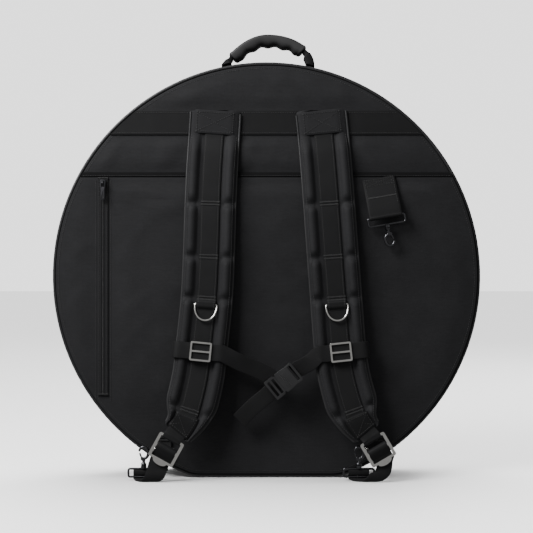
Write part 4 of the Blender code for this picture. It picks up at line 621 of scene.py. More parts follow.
front_lower = leaf("bag_front_foot", foot_outline, (0, 0.030), *LID_FACES, foot_puff, polyester, steps=16)
fit(front_lower, "case", "black_polyester", "front_lower_panel")

# Front pocket. A flat pocket sewn on the lid, with its own zip along the top; the pocket is a
# single skin of polyester that bellies a little.
LID_POCKET_TOP, LID_POCKET_INSET, LID_POCKET_THICKNESS = 0.4300, 0.0300, 0.0040
LID_POCKET_FACE = HALF_DEPTH + SMALL_GAP + LID_POCKET_THICKNESS
LID_ZIP_HEIGHT = LID_POCKET_TOP - 0.0300
POCKET_ZIP_WIDTH = 0.0150
pocket_foot = FOLD_HEIGHT + 0.0150


def half_chord(z, inset):
    """Half the case's width at a height, this far inside the rim."""
    return math.sqrt((CASE_RADIUS - inset) ** 2 - (z - CASE_MIDDLE) ** 2)


def angle_at(z, inset):
    """The rim's angle where a line this far inside it reaches a height."""
    return math.acos((z - CASE_MIDDLE) / (CASE_RADIUS - inset))


def chord_outline(high, low, inset):
    """The rim between two heights, with straight edges across the top and the foot."""
    start = angle_at(high, inset)
    if low is None:
        made = [point - way * inset for point, way in rim(start, math.tau - start)]
        made[0].z = made[-1].z = high
    else:
        right = [point - way * inset for point, way in rim(start, math.pi)[:-FOOT_STEPS - 1]]
        right = [p for p in right if p.z > low + 0.002]
        right.append(Vector((half_chord(low, inset), 0, low)))
        right[0].z = high
        left = [Vector((-p.x, 0, p.z)) for p in reversed(right)]
        made = right + between(right[-1], left[0]) + left
    return made + between(made[-1], made[0])


def lid_pocket_puff(x, z, inside):
    """Full low down, taut along the zip."""
    slack = ease(inside, 0.0, 0.050)
    zip_side = ease(abs(z - LID_ZIP_HEIGHT), 0.012, 0.060)
    full = 0.0052 + 0.0022 * rumple(x, z, 0.090, 12) + 0.0007 * rumple(x, z, 0.028, 4)
    return max(full, 0) * slack * zip_side


pocket_outline = chord_outline(LID_POCKET_TOP, pocket_foot, LID_POCKET_INSET)
front_pocket = leaf("bag_front_pocket", pocket_outline, (0, 0.27), LID_POCKET_FACE,
                    HALF_DEPTH + SMALL_GAP + 0.0004, lid_pocket_puff, polyester, edge=0.0014, steps=34)
fit(front_pocket, "lid", "black_polyester", "front_pocket_panel")


ZIP_PROFILE = ((-0.5, 0), (-0.5, 0.0012), (-0.30, 0.0019), (-0.14, 0.0017), (-0.13, 0.0006),
               (0.13, 0.0006), (0.14, 0.0017), (0.30, 0.0019), (0.5, 0.0012), (0.5, 0))


def straight_zip(name, start, end, way, body, node):
    """A flat zip on a pocket: welted tape edges with the coil between them, facing that way."""
    run = (end - start).normalized()
    across = way.cross(run)
    rings = []
    steps = 60
    for n in range(steps + 1):
        point = start.lerp(end, n / steps)
        rings.append([point + across * (share * POCKET_ZIP_WIDTH) + way * height
                      for share, height in ZIP_PROFILE])
    fit(skin(name, rings, zip_tape), body, "zip_tape", node)
    inset, lift = run * 0.003, way * 0.0011
    coiled(name + "_coil", [(start + inset + lift, way), (end - inset + lift, way)], 0.0017,
           (0.0011, 0.0034, 0.0014), body)


zip_half = half_chord(LID_ZIP_HEIGHT, LID_POCKET_INSET) - 0.0200
lid_zip_face = LID_POCKET_FACE + SMALL_GAP
straight_zip("bag_front_zip", Vector((zip_half, lid_zip_face, LID_ZIP_HEIGHT)),
             Vector((-zip_half, lid_zip_face, LID_ZIP_HEIGHT)), Vector((0, 1, 0)), "lid",
             "front_pocket_zip_tape")

# Band, strap-side pocket and its zip. Webbing runs across the back under the straps; below it the
# whole back is a flat pocket with a bound hem and a zip down its left side.
WEBBING = (0.0085, 0.0085, 0.0090)
# The hem tape's colour is darker than the webbing: painted shade for the shadowed fold along the pocket's top
# edge, not the tape's own colour.
HEM_TAPE_PAINTED_SHADE = (0.0050, 0.0050, 0.0054)
WEB = 0.0016
BAND_TOP, BAND_BOTTOM = 0.5424, 0.5066
BACK_FACE = -HALF_DEPTH - SMALL_GAP
POCKET_TOP, POCKET_THICKNESS = 0.4440, 0.0030
POCKET_FACE = BACK_FACE - POCKET_THICKNESS
POCKET_ZIP_X, POCKET_ZIP_LENGTH = -0.2410, 0.3220
HEM_WIDTH, HEM_THICKNESS = 0.0070, 0.0040
webbing, webbing_shader, thread = finish("black_webbing", WEBBING, 0.62, sheen=0.02, shine=CLOTH_SHINE)
along, across = thread.cloth_ways()
ribs = along.wave(0.0016) * across.wave(0.0011)
twill = (along * 0.6 + across).wave(0.0022)
tinted(webbing_shader, WEBBING, ribs * 0.35 + thread.noise(42.0, 5.0) * 0.65, 0.38)
raised(webbing_shader, ribs * 0.7 + twill * 0.3, 0.8, 0.00022)


def flat_strip(name, low, high, thickness, cloth):
    """A strip across the back between two heights, cut to the rim at both ends."""
    middle = (low + high) / 2
    spots = ((low, 0), (low, 0.75), (low + 0.0006, 1), (low + 0.0012, 1), (middle, 1), (high - 0.0012, 1),
             (high - 0.0006, 1), (high, 0.75), (high, 0), (middle, 0))
    steps = 90
    rings = [[Vector((half_chord(z, PANEL_INSET) * (2 * n / steps - 1), BACK_FACE - thickness * y, z))
              for z, y in spots] for n in range(steps + 1)]
    return skin(name, rings, cloth, uv=lay_flat)


fit(flat_strip("bag_band", BAND_BOTTOM, BAND_TOP, WEB, webbing), "case", "black_webbing", "top_band")


def pocket_puff(x, z, inside):
    """Slack cloth between its seams: taut at the hem and the zip, and flat behind the straps' ends."""
    hem = ease(POCKET_TOP - z, 0.0, 0.020)
    zip_side = ease(abs(x - POCKET_ZIP_X), 0.0090, 0.030)
    below = ease(z, 0.085, 0.050)
    high = ease(z, POCKET_TOP - 0.200, 0.160)
    fold = crease(x, z, 48, 5.7) * (0.35 + 0.65 * high)
    slack = 0.0016 + 0.0010 * rumple(x, z, 0.110, 15) + 0.0006 * rumple(x, z, 0.030, 8) + 0.0023 * fold
    return max(slack, 0) * hem * zip_side * below * ease(inside, 0.0, 0.030)


back_pocket = leaf("bag_back_pocket", chord_outline(POCKET_TOP, None, PANEL_INSET), (0, 0.24), POCKET_FACE,
                   BACK_FACE, pocket_puff, polyester, edge=0.0009, steps=46)
fit(back_pocket, "case", "black_polyester", "pocket_panel")
# The hem binding takes that darker colour, painted shade where the fold along the pocket's top lies in
# shadow.
hem_tape_painted_shade = woven("pocket_hem_painted_shade", HEM_TAPE_PAINTED_SHADE, 0.85, 0.0007, sheen=0.0)
hem_foot = POCKET_TOP + SMALL_GAP
binding = flat_strip("bag_pocket_hem", hem_foot, hem_foot + HEM_WIDTH, HEM_THICKNESS, hem_tape_painted_shade)
fit(binding, "case", "black_webbing", "pocket_binding")
zip_face, zip_top = POCKET_FACE - SMALL_GAP, POCKET_TOP - SMALL_GAP
straight_zip("bag_back_zip", Vector((POCKET_ZIP_X, zip_face, zip_top)),
             Vector((POCKET_ZIP_X, zip_face, zip_top - POCKET_ZIP_LENGTH)), Vector((0, -1, 0)), "case",
             "pocket_zip_tape")

# Zip sliders and pulls. Die-cast sliders in black, each with a bridge that holds a flat pull with
# a cord hole; two meet near the top of the main zip and one runs on each pocket.
ZIP_METAL = (0.055, 0.055, 0.060)


def worn_metal(name, colour, roughness, wear):
    """Plated metal: fine scratches and slightly cloudy plating."""
    made, shader, start = finish(name, colour, roughness, metallic=1.0)
    cloud, scratch = start.noise(120.0, 4.0), start.noise(900.0)
    tinted(shader, colour, cloud, 0.12)
    (cloud * wear + scratch * wear * 0.5 + (roughness - wear * 0.6)).into(shader, "Roughness")
    raised(shader, scratch, 0.12, 0.00003)
    return made


zip_metal = worn_metal("black_zip_metal", ZIP_METAL, 0.34, 0.16)


def stamped(name, outline, holes, thickness, place, metal, edge, segments=3):
    """A plate pressed from sheet: flat outline and holes, centred on its own plane, edges rounded."""
    shape = bpy.data.curves.new(name, "CURVE")
    shape.dimensions = "2D"
    shape.fill_mode = "BOTH"
    shape.extrude = thickness / 2
    for loop in (outline, *holes):
        spline = shape.splines.new("POLY")
        spline.points.add(len(loop) - 1)
        for point, (x, y) in zip(spline.points, loop):
            point.co = (x, y, 0, 1)
        spline.use_cyclic_u = True
    guide = hung(name, shape)
    mesh = plain_mesh(guide)
    bpy.data.objects.remove(guide)
    build = bmesh.new()
    build.from_mesh(mesh)
    bmesh.ops.remove_doubles(build, verts=build.verts[:], dist=0.000005)
    bmesh.ops.dissolve_limit(build, angle_limit=math.radians(1), verts=build.verts[:], edges=build.edges[:])
    sharp = [e for e in build.edges if len(e.link_faces) == 2 and e.calc_face_angle(0) > math.radians(60)]
    bmesh.ops.bevel(build, geom=sharp, offset=edge, segments=segments, profile=0.5, affect="EDGES",
                    clamp_overlap=True)
    build.to_mesh(mesh)
    build.free()
    mesh.transform(place)
    return settle(name, mesh, metal, 50)


def mirrored(lower):
    """A closed outline from its lower half."""
    return [*lower, *((x, -y) for x, y in reversed(lower))]


def rounded(points, radius, steps=5):
    """A closed outline with its corners rounded by up to this radius."""
    made = []
    for before, here, after in zip([points[-1], *points[:-1]], points, [*points[1:], points[0]]):
        here, before, after = Vector(here), Vector(before), Vector(after)
        cut = min(radius, (here - before).length * 0.45, (after - here).length * 0.45)
        start = here + (before - here).normalized() * cut
        end = here + (after - here).normalized() * cut
        for n in range(steps + 1):
            t = n / steps
            made.append(tuple(start.lerp(here, t).lerp(here.lerp(end, t), t)))
    return made


def wire_rings(points, radius, closed=False, sides=12, across=None):
    """Round cross-sections along a bent wire, turned with it so that they never twist."""
    rings = []
    total = len(points)
    hint = across or Vector((0, 1, 0))
    for n, point in enumerate(points):
        after = points[(n + 1) % total] if closed else points[min(n + 1, total - 1)]
        before = points[n - 1] if closed else points[max(n - 1, 0)]
        run = (after - before).normalized()
        side = (hint - run * hint.dot(run)).normalized()
        up = run.cross(side)
        size = radius(n / max(total - 1, 1)) if callable(radius) else radius
        turns = [math.tau * k / sides for k in range(sides)]
        rings.append([point + (side * math.cos(turn) + up * math.sin(turn)) * size for turn in turns])
    return rings


def smooth_line(points, steps):
    """Points spaced evenly along one smooth curve through the given ones."""
    points = [Vector(point) for point in points]
    padded = [2 * points[0] - points[1], *points, 2 * points[-1] - points[-2]]
    dense = []
    for k in range(1, len(padded) - 2):
        a, b, c, d = padded[k - 1:k + 3]
        for n in range(24):
            t = n / 24
            dense.append(0.5 * ((2 * b) + (c - a) * t + (2 * a - 5 * b + 4 * c - d) * t * t
                                + (3 * b - a - 3 * c + d) * t ** 3))
    dense.append(points[-1].copy())
    reach = [0.0]
    for a, b in zip(dense, dense[1:]):
        reach.append(reach[-1] + (b - a).length)
    spaced = []
    k = 0
    for n in range(steps + 1):
        goal = reach[-1] * n / steps
        while k < len(dense) - 2 and reach[k + 1] < goal:
            k += 1
        span = reach[k + 1] - reach[k]
        spaced.append(dense[k].lerp(dense[k + 1], (goal - reach[k]) / span if span else 0))
    return spaced


def moved(rings, place):
    return [[place @ point for point in ring] for ring in rings]


def welded(name, pieces):
    """Joins finished meshes that are one casting into one object."""
    build = bmesh.new()
    for piece in pieces:
        build.from_mesh(piece.data)
    mesh = bpy.data.meshes.new(name)
    build.to_mesh(mesh)
    build.free()
    for cloth in pieces[0].data.materials:
        mesh.materials.append(cloth)
    for piece in pieces:
        bpy.data.objects.remove(piece)
    return hung(name, mesh)


def axes(centre, x, y, z):
    """A frame at a point, with these directions as its X, Y and Z."""
    return Matrix.Translation(centre) @ Matrix((x, y, z)).transposed().to_4x4()


def standing(along, outward, centre):
    """A frame with X along and Z outward at a point."""
    x, z = Vector(along).normalized(), Vector(outward).normalized()
    return axes(centre, x, z.cross(x), z)


def slider_and_pull(slider, pull, place):
    """A slider with its bridge, and the pull that hangs in it; X of the place points along the pull."""
    def plate(name, shape, holes, thick, height, edge, segments=3):
        at = place @ Matrix.Translation((0, 0, height))
        return stamped(name, shape, holes, thick, at, zip_metal, edge, segments)

    shape = rounded(mirrored([(-0.0055, -0.0044), (-0.001, -0.0045), (0.0055, -0.0030)]), 0.0014)
    pieces = [plate(slider + "_plate", [(x * grow, y * grow) for x, y in shape], [], thick, height, 0.0004)
              for height, thick, grow in ((0.0007, 0.0013, 1.0), (0.0026, 0.0012, 0.94))]
    core = rounded(mirrored([(-0.0048, -0.0012), (0.0040, -0.0009)]), 0.0005)
    pieces.append(plate(slider + "_core", core, [], 0.0022, 0.0016, 0.0002, 1))
    lift, bow = 0.0046, 0.0030
    arch = [Vector((bow * math.cos(math.radians(a)), 0, lift + bow * math.sin(math.radians(a))))
            for a in range(-35, 216, 12)]
    rings = []
    for ring in wire_rings(arch, 0.0007, sides=10):
        middle = sum(ring, Vector()) / len(ring)
        rings.append([Vector((p.x, middle.y + (p.y - middle.y) * 1.5, p.z)) for p in ring])
    pieces.append(skin(slider + "_bridge", moved(rings, place), zip_metal))
    fit(welded("bag_" + slider, pieces), slider, "black_zip_metal", slider)
    shape = rounded(mirrored([(-0.0008, -0.0040), (0.0062, -0.0040), (0.0100, -0.0026), (0.0215, -0.0031),
                              (0.0252, -0.0022)]), 0.0016)
    window = rounded(mirrored([(0.0008, -0.0021), (0.0056, -0.0021)]), 0.0008)
    eye = [(0.0205 + 0.0013 * math.cos(math.tau * k / 14), 0.0013 * math.sin(math.tau * k / 14))
           for k in range(14)]
    fit(plate("bag_" + pull, shape, [window, eye], 0.0012, lift, 0.0003), pull, "black_zip_metal", pull)


for side, sign, degrees in (("left", -1, 24), ("right", 1, 28)):
    angle = math.radians(degrees)
    way = Vector((math.sin(angle), 0, math.cos(angle)))
    run = Vector((math.cos(angle), 0, -math.sin(angle))) * sign
    lift = CASE_RADIUS - 0.0018 + 0.0010 + SMALL_GAP
    centre = Vector((0, ZIP_MIDDLE, CASE_MIDDLE)) + way * lift
    slider_and_pull("main_slider_" + side, "main_pull_" + side, standing(run, way, centre))
chain, stop = 0.0022 + SMALL_GAP, 0.0090
slider_and_pull("pocket_slider", "pocket_pull",
                standing((0, 0, -1), (0, -1, 0), (POCKET_ZIP_X, zip_face - chain, zip_top - stop)))
slider_and_pull("front_pocket_slider", "front_pocket_pull",
                standing((-1, 0, 0), (0, 1, 0), (zip_half - stop, lid_zip_face + chain, LID_ZIP_HEIGHT)))

# Handle. Webbing folded double at its feet and sewn to a patch over the gusset, with a moulded
# rubber grip wrapped round it that has finger ridges underneath.
HANDLE_X, HANDLE_Y = 0.0020, -0.0170
HANDLE_HALF_SPAN, HANDLE_RISE = 0.0660, 0.0420
HANDLE_WIDTH, HANDLE_STEPS = 0.0260, 96
HANDLE_SPOTS = (-0.5, -0.47, -0.25, 0, 0.25, 0.47, 0.5)
PATCH_INSET = GUSSET_INSET - SMALL_GAP - WEB
PATCH_HALF_WIDTH, PATCH_HALF_ANGLE = 0.0160, math.radians(18)
GRIP_HALF_ANGLE, GRIP_HALF_WIDTH = math.radians(55), 0.0160
GRIP_STEPS, GRIP_SIDES = 110, 28


def patch_height(x):
    return CASE_MIDDLE + math.sqrt((CASE_RADIUS - PATCH_INSET) ** 2 - x ** 2)


handle_base = patch_height(HANDLE_HALF_SPAN - HANDLE_X - 1.4 * 0.0086) + SMALL_GAP
handle_axis = handle_base + 0.0190


def handle_point(angle, shift=0.0, across=0.0):
    """A point on the handle's arch, this far outside its middle line."""
    def line(turn):
        lean = 2.0 if math.cos(turn) < 0 else 1.0
        rise = HANDLE_RISE * max(math.sin(turn), 0) ** lean
        return Vector((HANDLE_X + HANDLE_HALF_SPAN * math.cos(turn), HANDLE_Y, handle_base + rise))

    run = line(min(angle + 0.001, math.pi)) - line(max(angle - 0.001, 0))
    return line(angle) + Vector((run.z, 0, -run.x)).normalized() * shift + Vector((0, across, 0))


def patch_section(n, point):
    low, high = HANDLE_Y - PATCH_HALF_WIDTH, HANDLE_Y + PATCH_HALF_WIDTH
    spots = [(low, 0.0005), (low + 0.0007, 0), (low + 0.0013, 0), (HANDLE_Y, 0), (high - 0.0013, 0),
             (high - 0.0007, 0), (high, 0.0005), (high, WEB), (HANDLE_Y, WEB), (low, WEB)]
    return [(y, PATCH_INSET + depth) for y, depth in spots]


patch = along_rim("bag_handle_patch", patch_section, -PATCH_HALF_ANGLE, PATCH_HALF_ANGLE, webbing,
                  step=RIM_STEP / 2)
fit(patch, "case", "black_webbing", "handle_patch")

rings = []
for n in range(HANDLE_STEPS + 1):
    angle = math.pi * n / HANDLE_STEPS
    climb = min(angle, math.pi - angle)
    thin = ease(climb, math.radians(23), math.radians(6))
    gripped = ease(climb, math.radians(33), math.radians(3))
    ring = []
    for side, thick, beside_grip in ((1, 0.0036, 0.0005), (-1, 0.0086, 0.0026)):
        slim = 0.0013 + beside_grip * (1 - gripped)
        for share in HANDLE_SPOTS[::side]:
            shift = (thick + (slim - thick) * thin) * (0.72 if abs(share) == 0.5 else 1)
            across = HANDLE_WIDTH * share
            point = handle_point(angle, shift * side, across)
            reach = handle_axis - patch_height(point.x) - SMALL_GAP
            foot = handle_axis - math.sqrt(max(reach ** 2 - across ** 2, 0))
            point.z = foot if n in (0, HANDLE_STEPS) else max(point.z, foot)
            ring.append(point)
    rings.append(ring)
fit(skin("bag_handle_webbing", rings, webbing), "handle", "black_webbing", "handle_webbing")


def blunt(value, power):
    """Squares up a sine or cosine, with its sign kept."""
    return abs(value) ** power * (1 if value > 0 else -1)


rings = []
for n in range(GRIP_STEPS + 1):
    share = n / GRIP_STEPS
    angle = math.pi / 2 + GRIP_HALF_ANGLE * (1 - 2 * share)
    valley = 0.5 + 0.5 * math.cos(math.tau * 5 * share)
    off_middle = abs(2 * share - 1)
    rim_end = 1 - 0.10 * ease(off_middle, 0.975, 0.025)
    lip = 0.0007 * (ease(off_middle, 0.90, 0.02) - ease(off_middle, 0.965, 0.02))
    ring = []
    for k in range(GRIP_SIDES):
        turn = math.tau * k / GRIP_SIDES
        flat, up = blunt(math.cos(turn), 0.62), blunt(math.sin(turn), 0.80)
        shift = 0.0013 + (0.0041 + lip) * up if up >= 0 else -0.0016 + (0.0121 + lip - 0.0028 * valley) * up
        ring.append(handle_point(angle, shift * rim_end, GRIP_HALF_WIDTH * flat * rim_end))
    rings.append(ring)
fit(skin("bag_handle_grip", rings, rubber), "handle", "black_rubber", "handle_grip")

# Shoulder straps. A fabric shell filled with foam, its edges bound, sewn under the band at the
# top and drawn flat at each row of bartacks; webbing runs down its middle.
STRAP_SEAT = -0.0475
STAND_OFF = 0.0380
ROUTES = {
    "left": [(-0.236, 1.000, 0.000), (-0.243, 0.933, 0.000), (-0.253, 0.839, 0.150),
             (-0.260, 0.736, 0.280), (-0.267, 0.601, 0.390), (-0.277, 0.483, 0.470),
             (-0.299, 0.358, 0.600), (-0.317, 0.271, 0.730), (-0.362, 0.173, 0.890),
             (-0.422, 0.122, 0.955), (-0.457, 0.0887, 1.000), (-0.476, 0.066, 1.020)],
    "right": [(0.253, 1.000, 0.000), (0.265, 0.933, 0.000), (0.278, 0.839, 0.150),
              (0.291, 0.736, 0.280), (0.307, 0.601, 0.390), (0.322, 0.483, 0.470),
              (0.338, 0.358, 0.600), (0.360, 0.271, 0.730), (0.411, 0.173, 0.890),
              (0.472, 0.122, 0.955), (0.508, 0.0887, 1.000), (0.529, 0.066, 1.020)],
}
STRAP_STEPS = 240
PAD_WIDTH, PAD_THICKNESS, CHANNEL = 0.0740, 0.0130, 0.0372
STRAP_WEBBING_WIDTH = 0.0280
BARTACK_HEIGHTS = [0.745, 0.599, 0.487, 0.190]
LOCK_LENGTH, LOCK_WIDTH, LOCK_BAR, LOCK_THICKNESS = 0.0380, 0.0400, 0.0036, 0.0030
BAR_PLACE = (LOCK_LENGTH - LOCK_BAR) / 2
BAR_CLEARANCE = LOCK_THICKNESS / 2 + SMALL_GAP + WEB / 2 + 0.0004
STERNUM_HEIGHT = 0.346 * BAND_TOP
RING_HEIGHT = 0.472 * BAND_TOP
FOOT_PATCH_HEIGHT = 0.178 * BAND_TOP
RING_WIRE = 0.0015
ACROSS = Vector((1, 0, 0))


def frames_along(points, across_at, squared=True):
    """The point, across and outward of each station of a route."""
    made = []
    for n, point in enumerate(points):
        run = (points[min(n + 1, len(points) - 1)] - points[max(n - 1, 0)]).normalized()
        across = across_at(n)
        outward = run.cross(across).normalized()
        if squared:
            across = outward.cross(run).normalized()
        made.append((point, across, outward))
    return made


class Strap:
    """One shoulder strap's route down the bag, from the band to its ladder lock."""

    def __init__(self, side):
        self.side = side
        self.sign = -1 if side == "left" else 1
        self.body = "strap_" + side
        points = [Vector((x * CASE_RADIUS, STRAP_SEAT - off * STAND_OFF, z * BAND_TOP))
                  for x, z, off in ROUTES[side]]
        route = smooth_line(points, STRAP_STEPS)
        for point in route:
            point.y = min(point.y, STRAP_SEAT)
        self.stations = frames_along(route, lambda n: ACROSS)
        self.length = sum((b[0] - a[0]).length for a, b in zip(self.stations, self.stations[1:]))
        self.lock_reach = self.nearest(lambda point: (point - points[10]).length)
        self.end = self.lock_reach - LOCK_LENGTH / 2 - 0.0080
        self.ring_reach = self.reach_at(RING_HEIGHT)
        self.patch_reach = self.reach_at(FOOT_PATCH_HEIGHT)
        self.tacks = [self.reach_at(share * BAND_TOP) for share in BARTACK_HEIGHTS]
        point, across, outward = self.frame(self.lock_reach)
        lift = self.channel(self.end) + WEB / 2 + SMALL_GAP
        self.lock = axes(point + outward * lift, across, outward.cross(across), outward)
        self.lock_across = (self.lock @ ACROSS - self.lock.translation).normalized()

    def nearest(self, distance):
        """How far down the strap its station at the smallest distance lies."""
        station = min(range(STRAP_STEPS + 1), key=lambda n: distance(self.stations[n][0]))
        return self.length * station / STRAP_STEPS

    def reach_at(self, height):
        return self.nearest(lambda point: abs(point.z - height))

    def frame(self, reach):
        place = min(max(reach / self.length, 0), 1) * STRAP_STEPS
        low = min(int(place), STRAP_STEPS - 1)
        a, b = self.stations[low], self.stations[low + 1]
        point, across, outward = (a[k].lerp(b[k], place - low) for k in range(3))
        return point, across.normalized(), outward.normalized()

    def at(self, reach, across=0.0, outward=0.0):
        point, side, out = self.frame(reach)
        return point + side * across + out * outward

    def half_width(self, reach):
        return PAD_WIDTH / 2 * (1 - 0.38 * ease(reach, self.end - 0.0550, 0.0550))

    def swell(self, reach):
        full = 0.36 + 0.64 * ease(reach, BAND_TOP - BAND_BOTTOM, 0.0300)
        return full * (1 - 0.64 * ease(reach, self.end - 0.0300, 0.0300))

    def dips(self, reach):
        """1 on a row of bartacks, 0 away from one."""
        return max(math.exp(-((reach - tack) / 0.0060) ** 2) for tack in self.tacks)

    def channel(self, reach):
        return max(PAD_THICKNESS * 0.42 * self.swell(reach), WEB)

    def seat(self, reach):
        """The height at which the webbing's back lies in the channel."""
        return self.channel(reach) + 2 * SMALL_GAP

    def hump(self, reach):
        """1 where the webbing passes over its ring, 0 away from it."""
        return 1 - ease(abs(reach - self.ring_reach), 2 * RING_WIRE, 0.0080 - 2 * RING_WIRE)

    def face(self, reach, thickness=WEB):
        """The height of the webbing at this depth of its thickness, with its rise over the ring."""
        return self.seat(reach) + thickness + (2 * RING_WIRE + SMALL_GAP) * self.hump(reach)


straps = [Strap("left"), Strap("right")]
HUMP = [(0.0, 0.42, 1), (0.10, 0.70, 0), (0.22, 0.87, 0), (0.36, 0.955, 0), (0.50, 0.965, 0), (0.64, 0.89, 0),
        (0.78, 0.72, 0), (0.90, 0.46, 0.3), (0.97, 0.24, 1)]


def pad_shell(strap):
    """The sewn shell before it is filled, with how firmly each point is held and how far it may swell."""
    rings, held, room = [], [], []
    steps = 150
    chest = strap.reach_at(STERNUM_HEIGHT)
    for n in range(steps + 1):
        reach = strap.end * n / steps
        swell, dip = strap.swell(reach), strap.dips(reach)
        wide = strap.half_width(reach)
        squeeze = math.exp(-((reach - chest) / 0.0150) ** 2)
        near_ring = math.exp(-((reach - strap.ring_reach + 0.006) / 0.0150) ** 2)
        free = ease(reach, 0.0400, 0.0250) * (1 - ease(reach, strap.end - 0.020, 0.015))
        end = min(1, (1 - ease(reach, 0, 0.006)) + ease(reach, strap.end - 0.006, 0.006))
        ring, grips, spans = [], [], []

        def put(across, height, grip, span):
            point = strap.at(reach, across, height)
            if n == 0:
                point.z = BAND_TOP
            ring.append(point)
            grips.append(max(grip, end))
            spans.append(span)

        for sign, spots in ((-1, reversed(HUMP)), (1, HUMP)):
            for share, full, sewn in spots:
                across = sign * (CHANNEL / 2 + share * (wide - CHANNEL / 2))
                dent = 1 - 0.50 * dip * (1 if full > 0.45 else 0)
                height = max(PAD_THICKNESS * full * swell * dent * (1 - 0.035 * squeeze), 0.0015)
                span = 0.0026 * free * (1 - squeeze) * (1 - 0.8 * near_ring * (share < 0.3))
                put(across, height, max(sewn, 0.9 * dip, 0.75 * squeeze), span)
            if sign < 0:
                for share in (-0.6, 0, 0.6):
                    put(share * CHANNEL / 2, strap.channel(reach), 1, 0)
        put(wide, 0.0012, 1, 0)
        under = free * (1 - squeeze) * ease(reach, 0.10, 0.05)
        for share in (0.86, 0.68, 0.5, 0.3, 0.1, -0.1, -0.3, -0.5, -0.68, -0.86):
            put(share * wide, 0.0, 0.9 * dip if abs(share) > 0.15 else 1, 0.0016 * under)
        put(-wide, 0.0012, 1, 0)
        rings.append(ring)
        held += grips
        room += spans
    return rings, held, room


def filled(piece, held, room):
    """Blows the shell up with cloth simulation: held points stay put, and none moves past its room."""
    rest = [vertex.co.copy() for vertex in piece.data.vertices]
    group = piece.vertex_groups.new(name="sewn")
    for index, grip in enumerate(held):
        group.add([index], grip, "REPLACE")
    cloth = piece.modifiers.new("filling", "CLOTH")
    set_up = cloth.settings
    set_up.quality = 5
    set_up.mass = 0.15
    set_up.tension_stiffness = set_up.compression_stiffness = 8
    set_up.bending_stiffness = 0.4
    set_up.vertex_group_mass = "sewn"
    set_up.use_pressure = True
    set_up.uniform_pressure_force = 4
    set_up.effector_weights.gravity = 0
    cloth.point_cache.frame_start, cloth.point_cache.frame_end = 1, 20
    for number in range(1, 21):
        bpy.context.scene.frame_set(number)
    seen = piece.evaluated_get(bpy.context.evaluated_depsgraph_get())
    moved_to = [vertex.co.copy() for vertex in seen.data.vertices]
    bpy.context.scene.frame_set(1)
    piece.modifiers.remove(cloth)
    for vertex, start, place, limit in zip(piece.data.vertices, rest, moved_to, room):
        shift = place - start
        if shift.length > 0.000001:
            grown = limit * (1 - math.exp(-shift.length / max(limit, 0.000001)))
            vertex.co = start + shift * (grown / shift.length)
    piece.vertex_groups.clear()


WEB_PROFILE = [(-0.5, 0), (-0.48, 0.42), (-0.44, 0.5), (-0.2, 0.5), (0, 0.5), (0.2, 0.5), (0.44, 0.5),
               (0.48, 0.42), (0.5, 0), (0.48, -0.42), (0.44, -0.5), (0, -0.5), (-0.44, -0.5), (-0.48, -0.42)]


def flat_webbing(name, stations, width):
    """Webbing along a route of (point, across, outward), with soft edges."""
    along = [0.0]
    for before, after in zip(stations, stations[1:]):
        along.append(along[-1] + (after[0] - before[0]).length)

    def on_cloth(i, j, point):
        return along[min(i, len(along) - 1)], WEB_PROFILE[j % len(WEB_PROFILE)][0] * width

    rings = [[point + across * (x * width) + outward * (z * WEB) for x, z in WEB_PROFILE]
             for point, across, outward in stations]
    return skin(name, rings, webbing, uv=on_cloth)


for strap in straps:
    rings, held, room = pad_shell(strap)
    side = strap.side
    pad = skin("bag_strap_pad_" + side, rings, polyester)
    flat = [point for ring in rings for point in ring]
    grips = dict(zip((tuple(round(c, 6) for c in p) for p in flat), zip(held, room)))
    found = [grips.get(tuple(round(c, 6) for c in v.co), (1, 0)) for v in pad.data.vertices]
    filled(pad, [grip for grip, span in found], [span for grip, span in found])
    fuller = pad.modifiers.new("fuller", "SUBSURF")
    fuller.levels = fuller.render_levels = 1
    fit(pad, strap.body, "black_polyester", "strap_pad_" + side)
    bound = []
    for sign in (-1, 1):
        line = []
        for n in range(121):
            reach = 0.004 + (strap.end - 0.008) * n / 120
            line.append(strap.at(reach, sign * (strap.half_width(reach) - 0.0004), 0.0016))
        bound.append(skin("edge", wire_rings(line, 0.0017, sides=10, across=Vector((0, -1, 0))), piping))
    fit(welded("bag_strap_edges_" + side, bound), strap.body, "black_piping")

    points, acrosses = [], []
    start, end = WEB, strap.end - WEB
    marks = sorted([start + (end - start) * n / 110 for n in range(111)]
                   + [strap.ring_reach + 0.016 * (n / 12 - 0.5) for n in range(13)])
    for reach in marks:
        drawn = 0.0004 * strap.dips(reach) * (1 - strap.hump(reach))
        points.append(strap.at(reach, 0, strap.face(reach, WEB / 2) - drawn))
        acrosses.append(strap.frame(reach)[1])
    turn = WEB / 2 + SMALL_GAP + 0.0004
    inner, off = BAR_PLACE - LOCK_BAR / 2, BAR_CLEARANCE
    ends = [(BAR_PLACE + LOCK_BAR, off), (BAR_PLACE, off), (inner, off),
            (inner - turn * 0.7, off - turn * 0.3), (inner - turn, off - turn), (inner - turn, 0)]
    ends = smooth_line([strap.lock @ Vector((0, y, z)) for y, z in ends], 14)
    points += ends
    acrosses += [strap.lock_across] * len(ends)
    route = frames_along(points, lambda n: acrosses[n])
    run = flat_webbing("bag_strap_webbing_" + side, route, STRAP_WEBBING_WIDTH)
    fit(run, strap.body, "black_webbing", "strap_webbing_" + side)

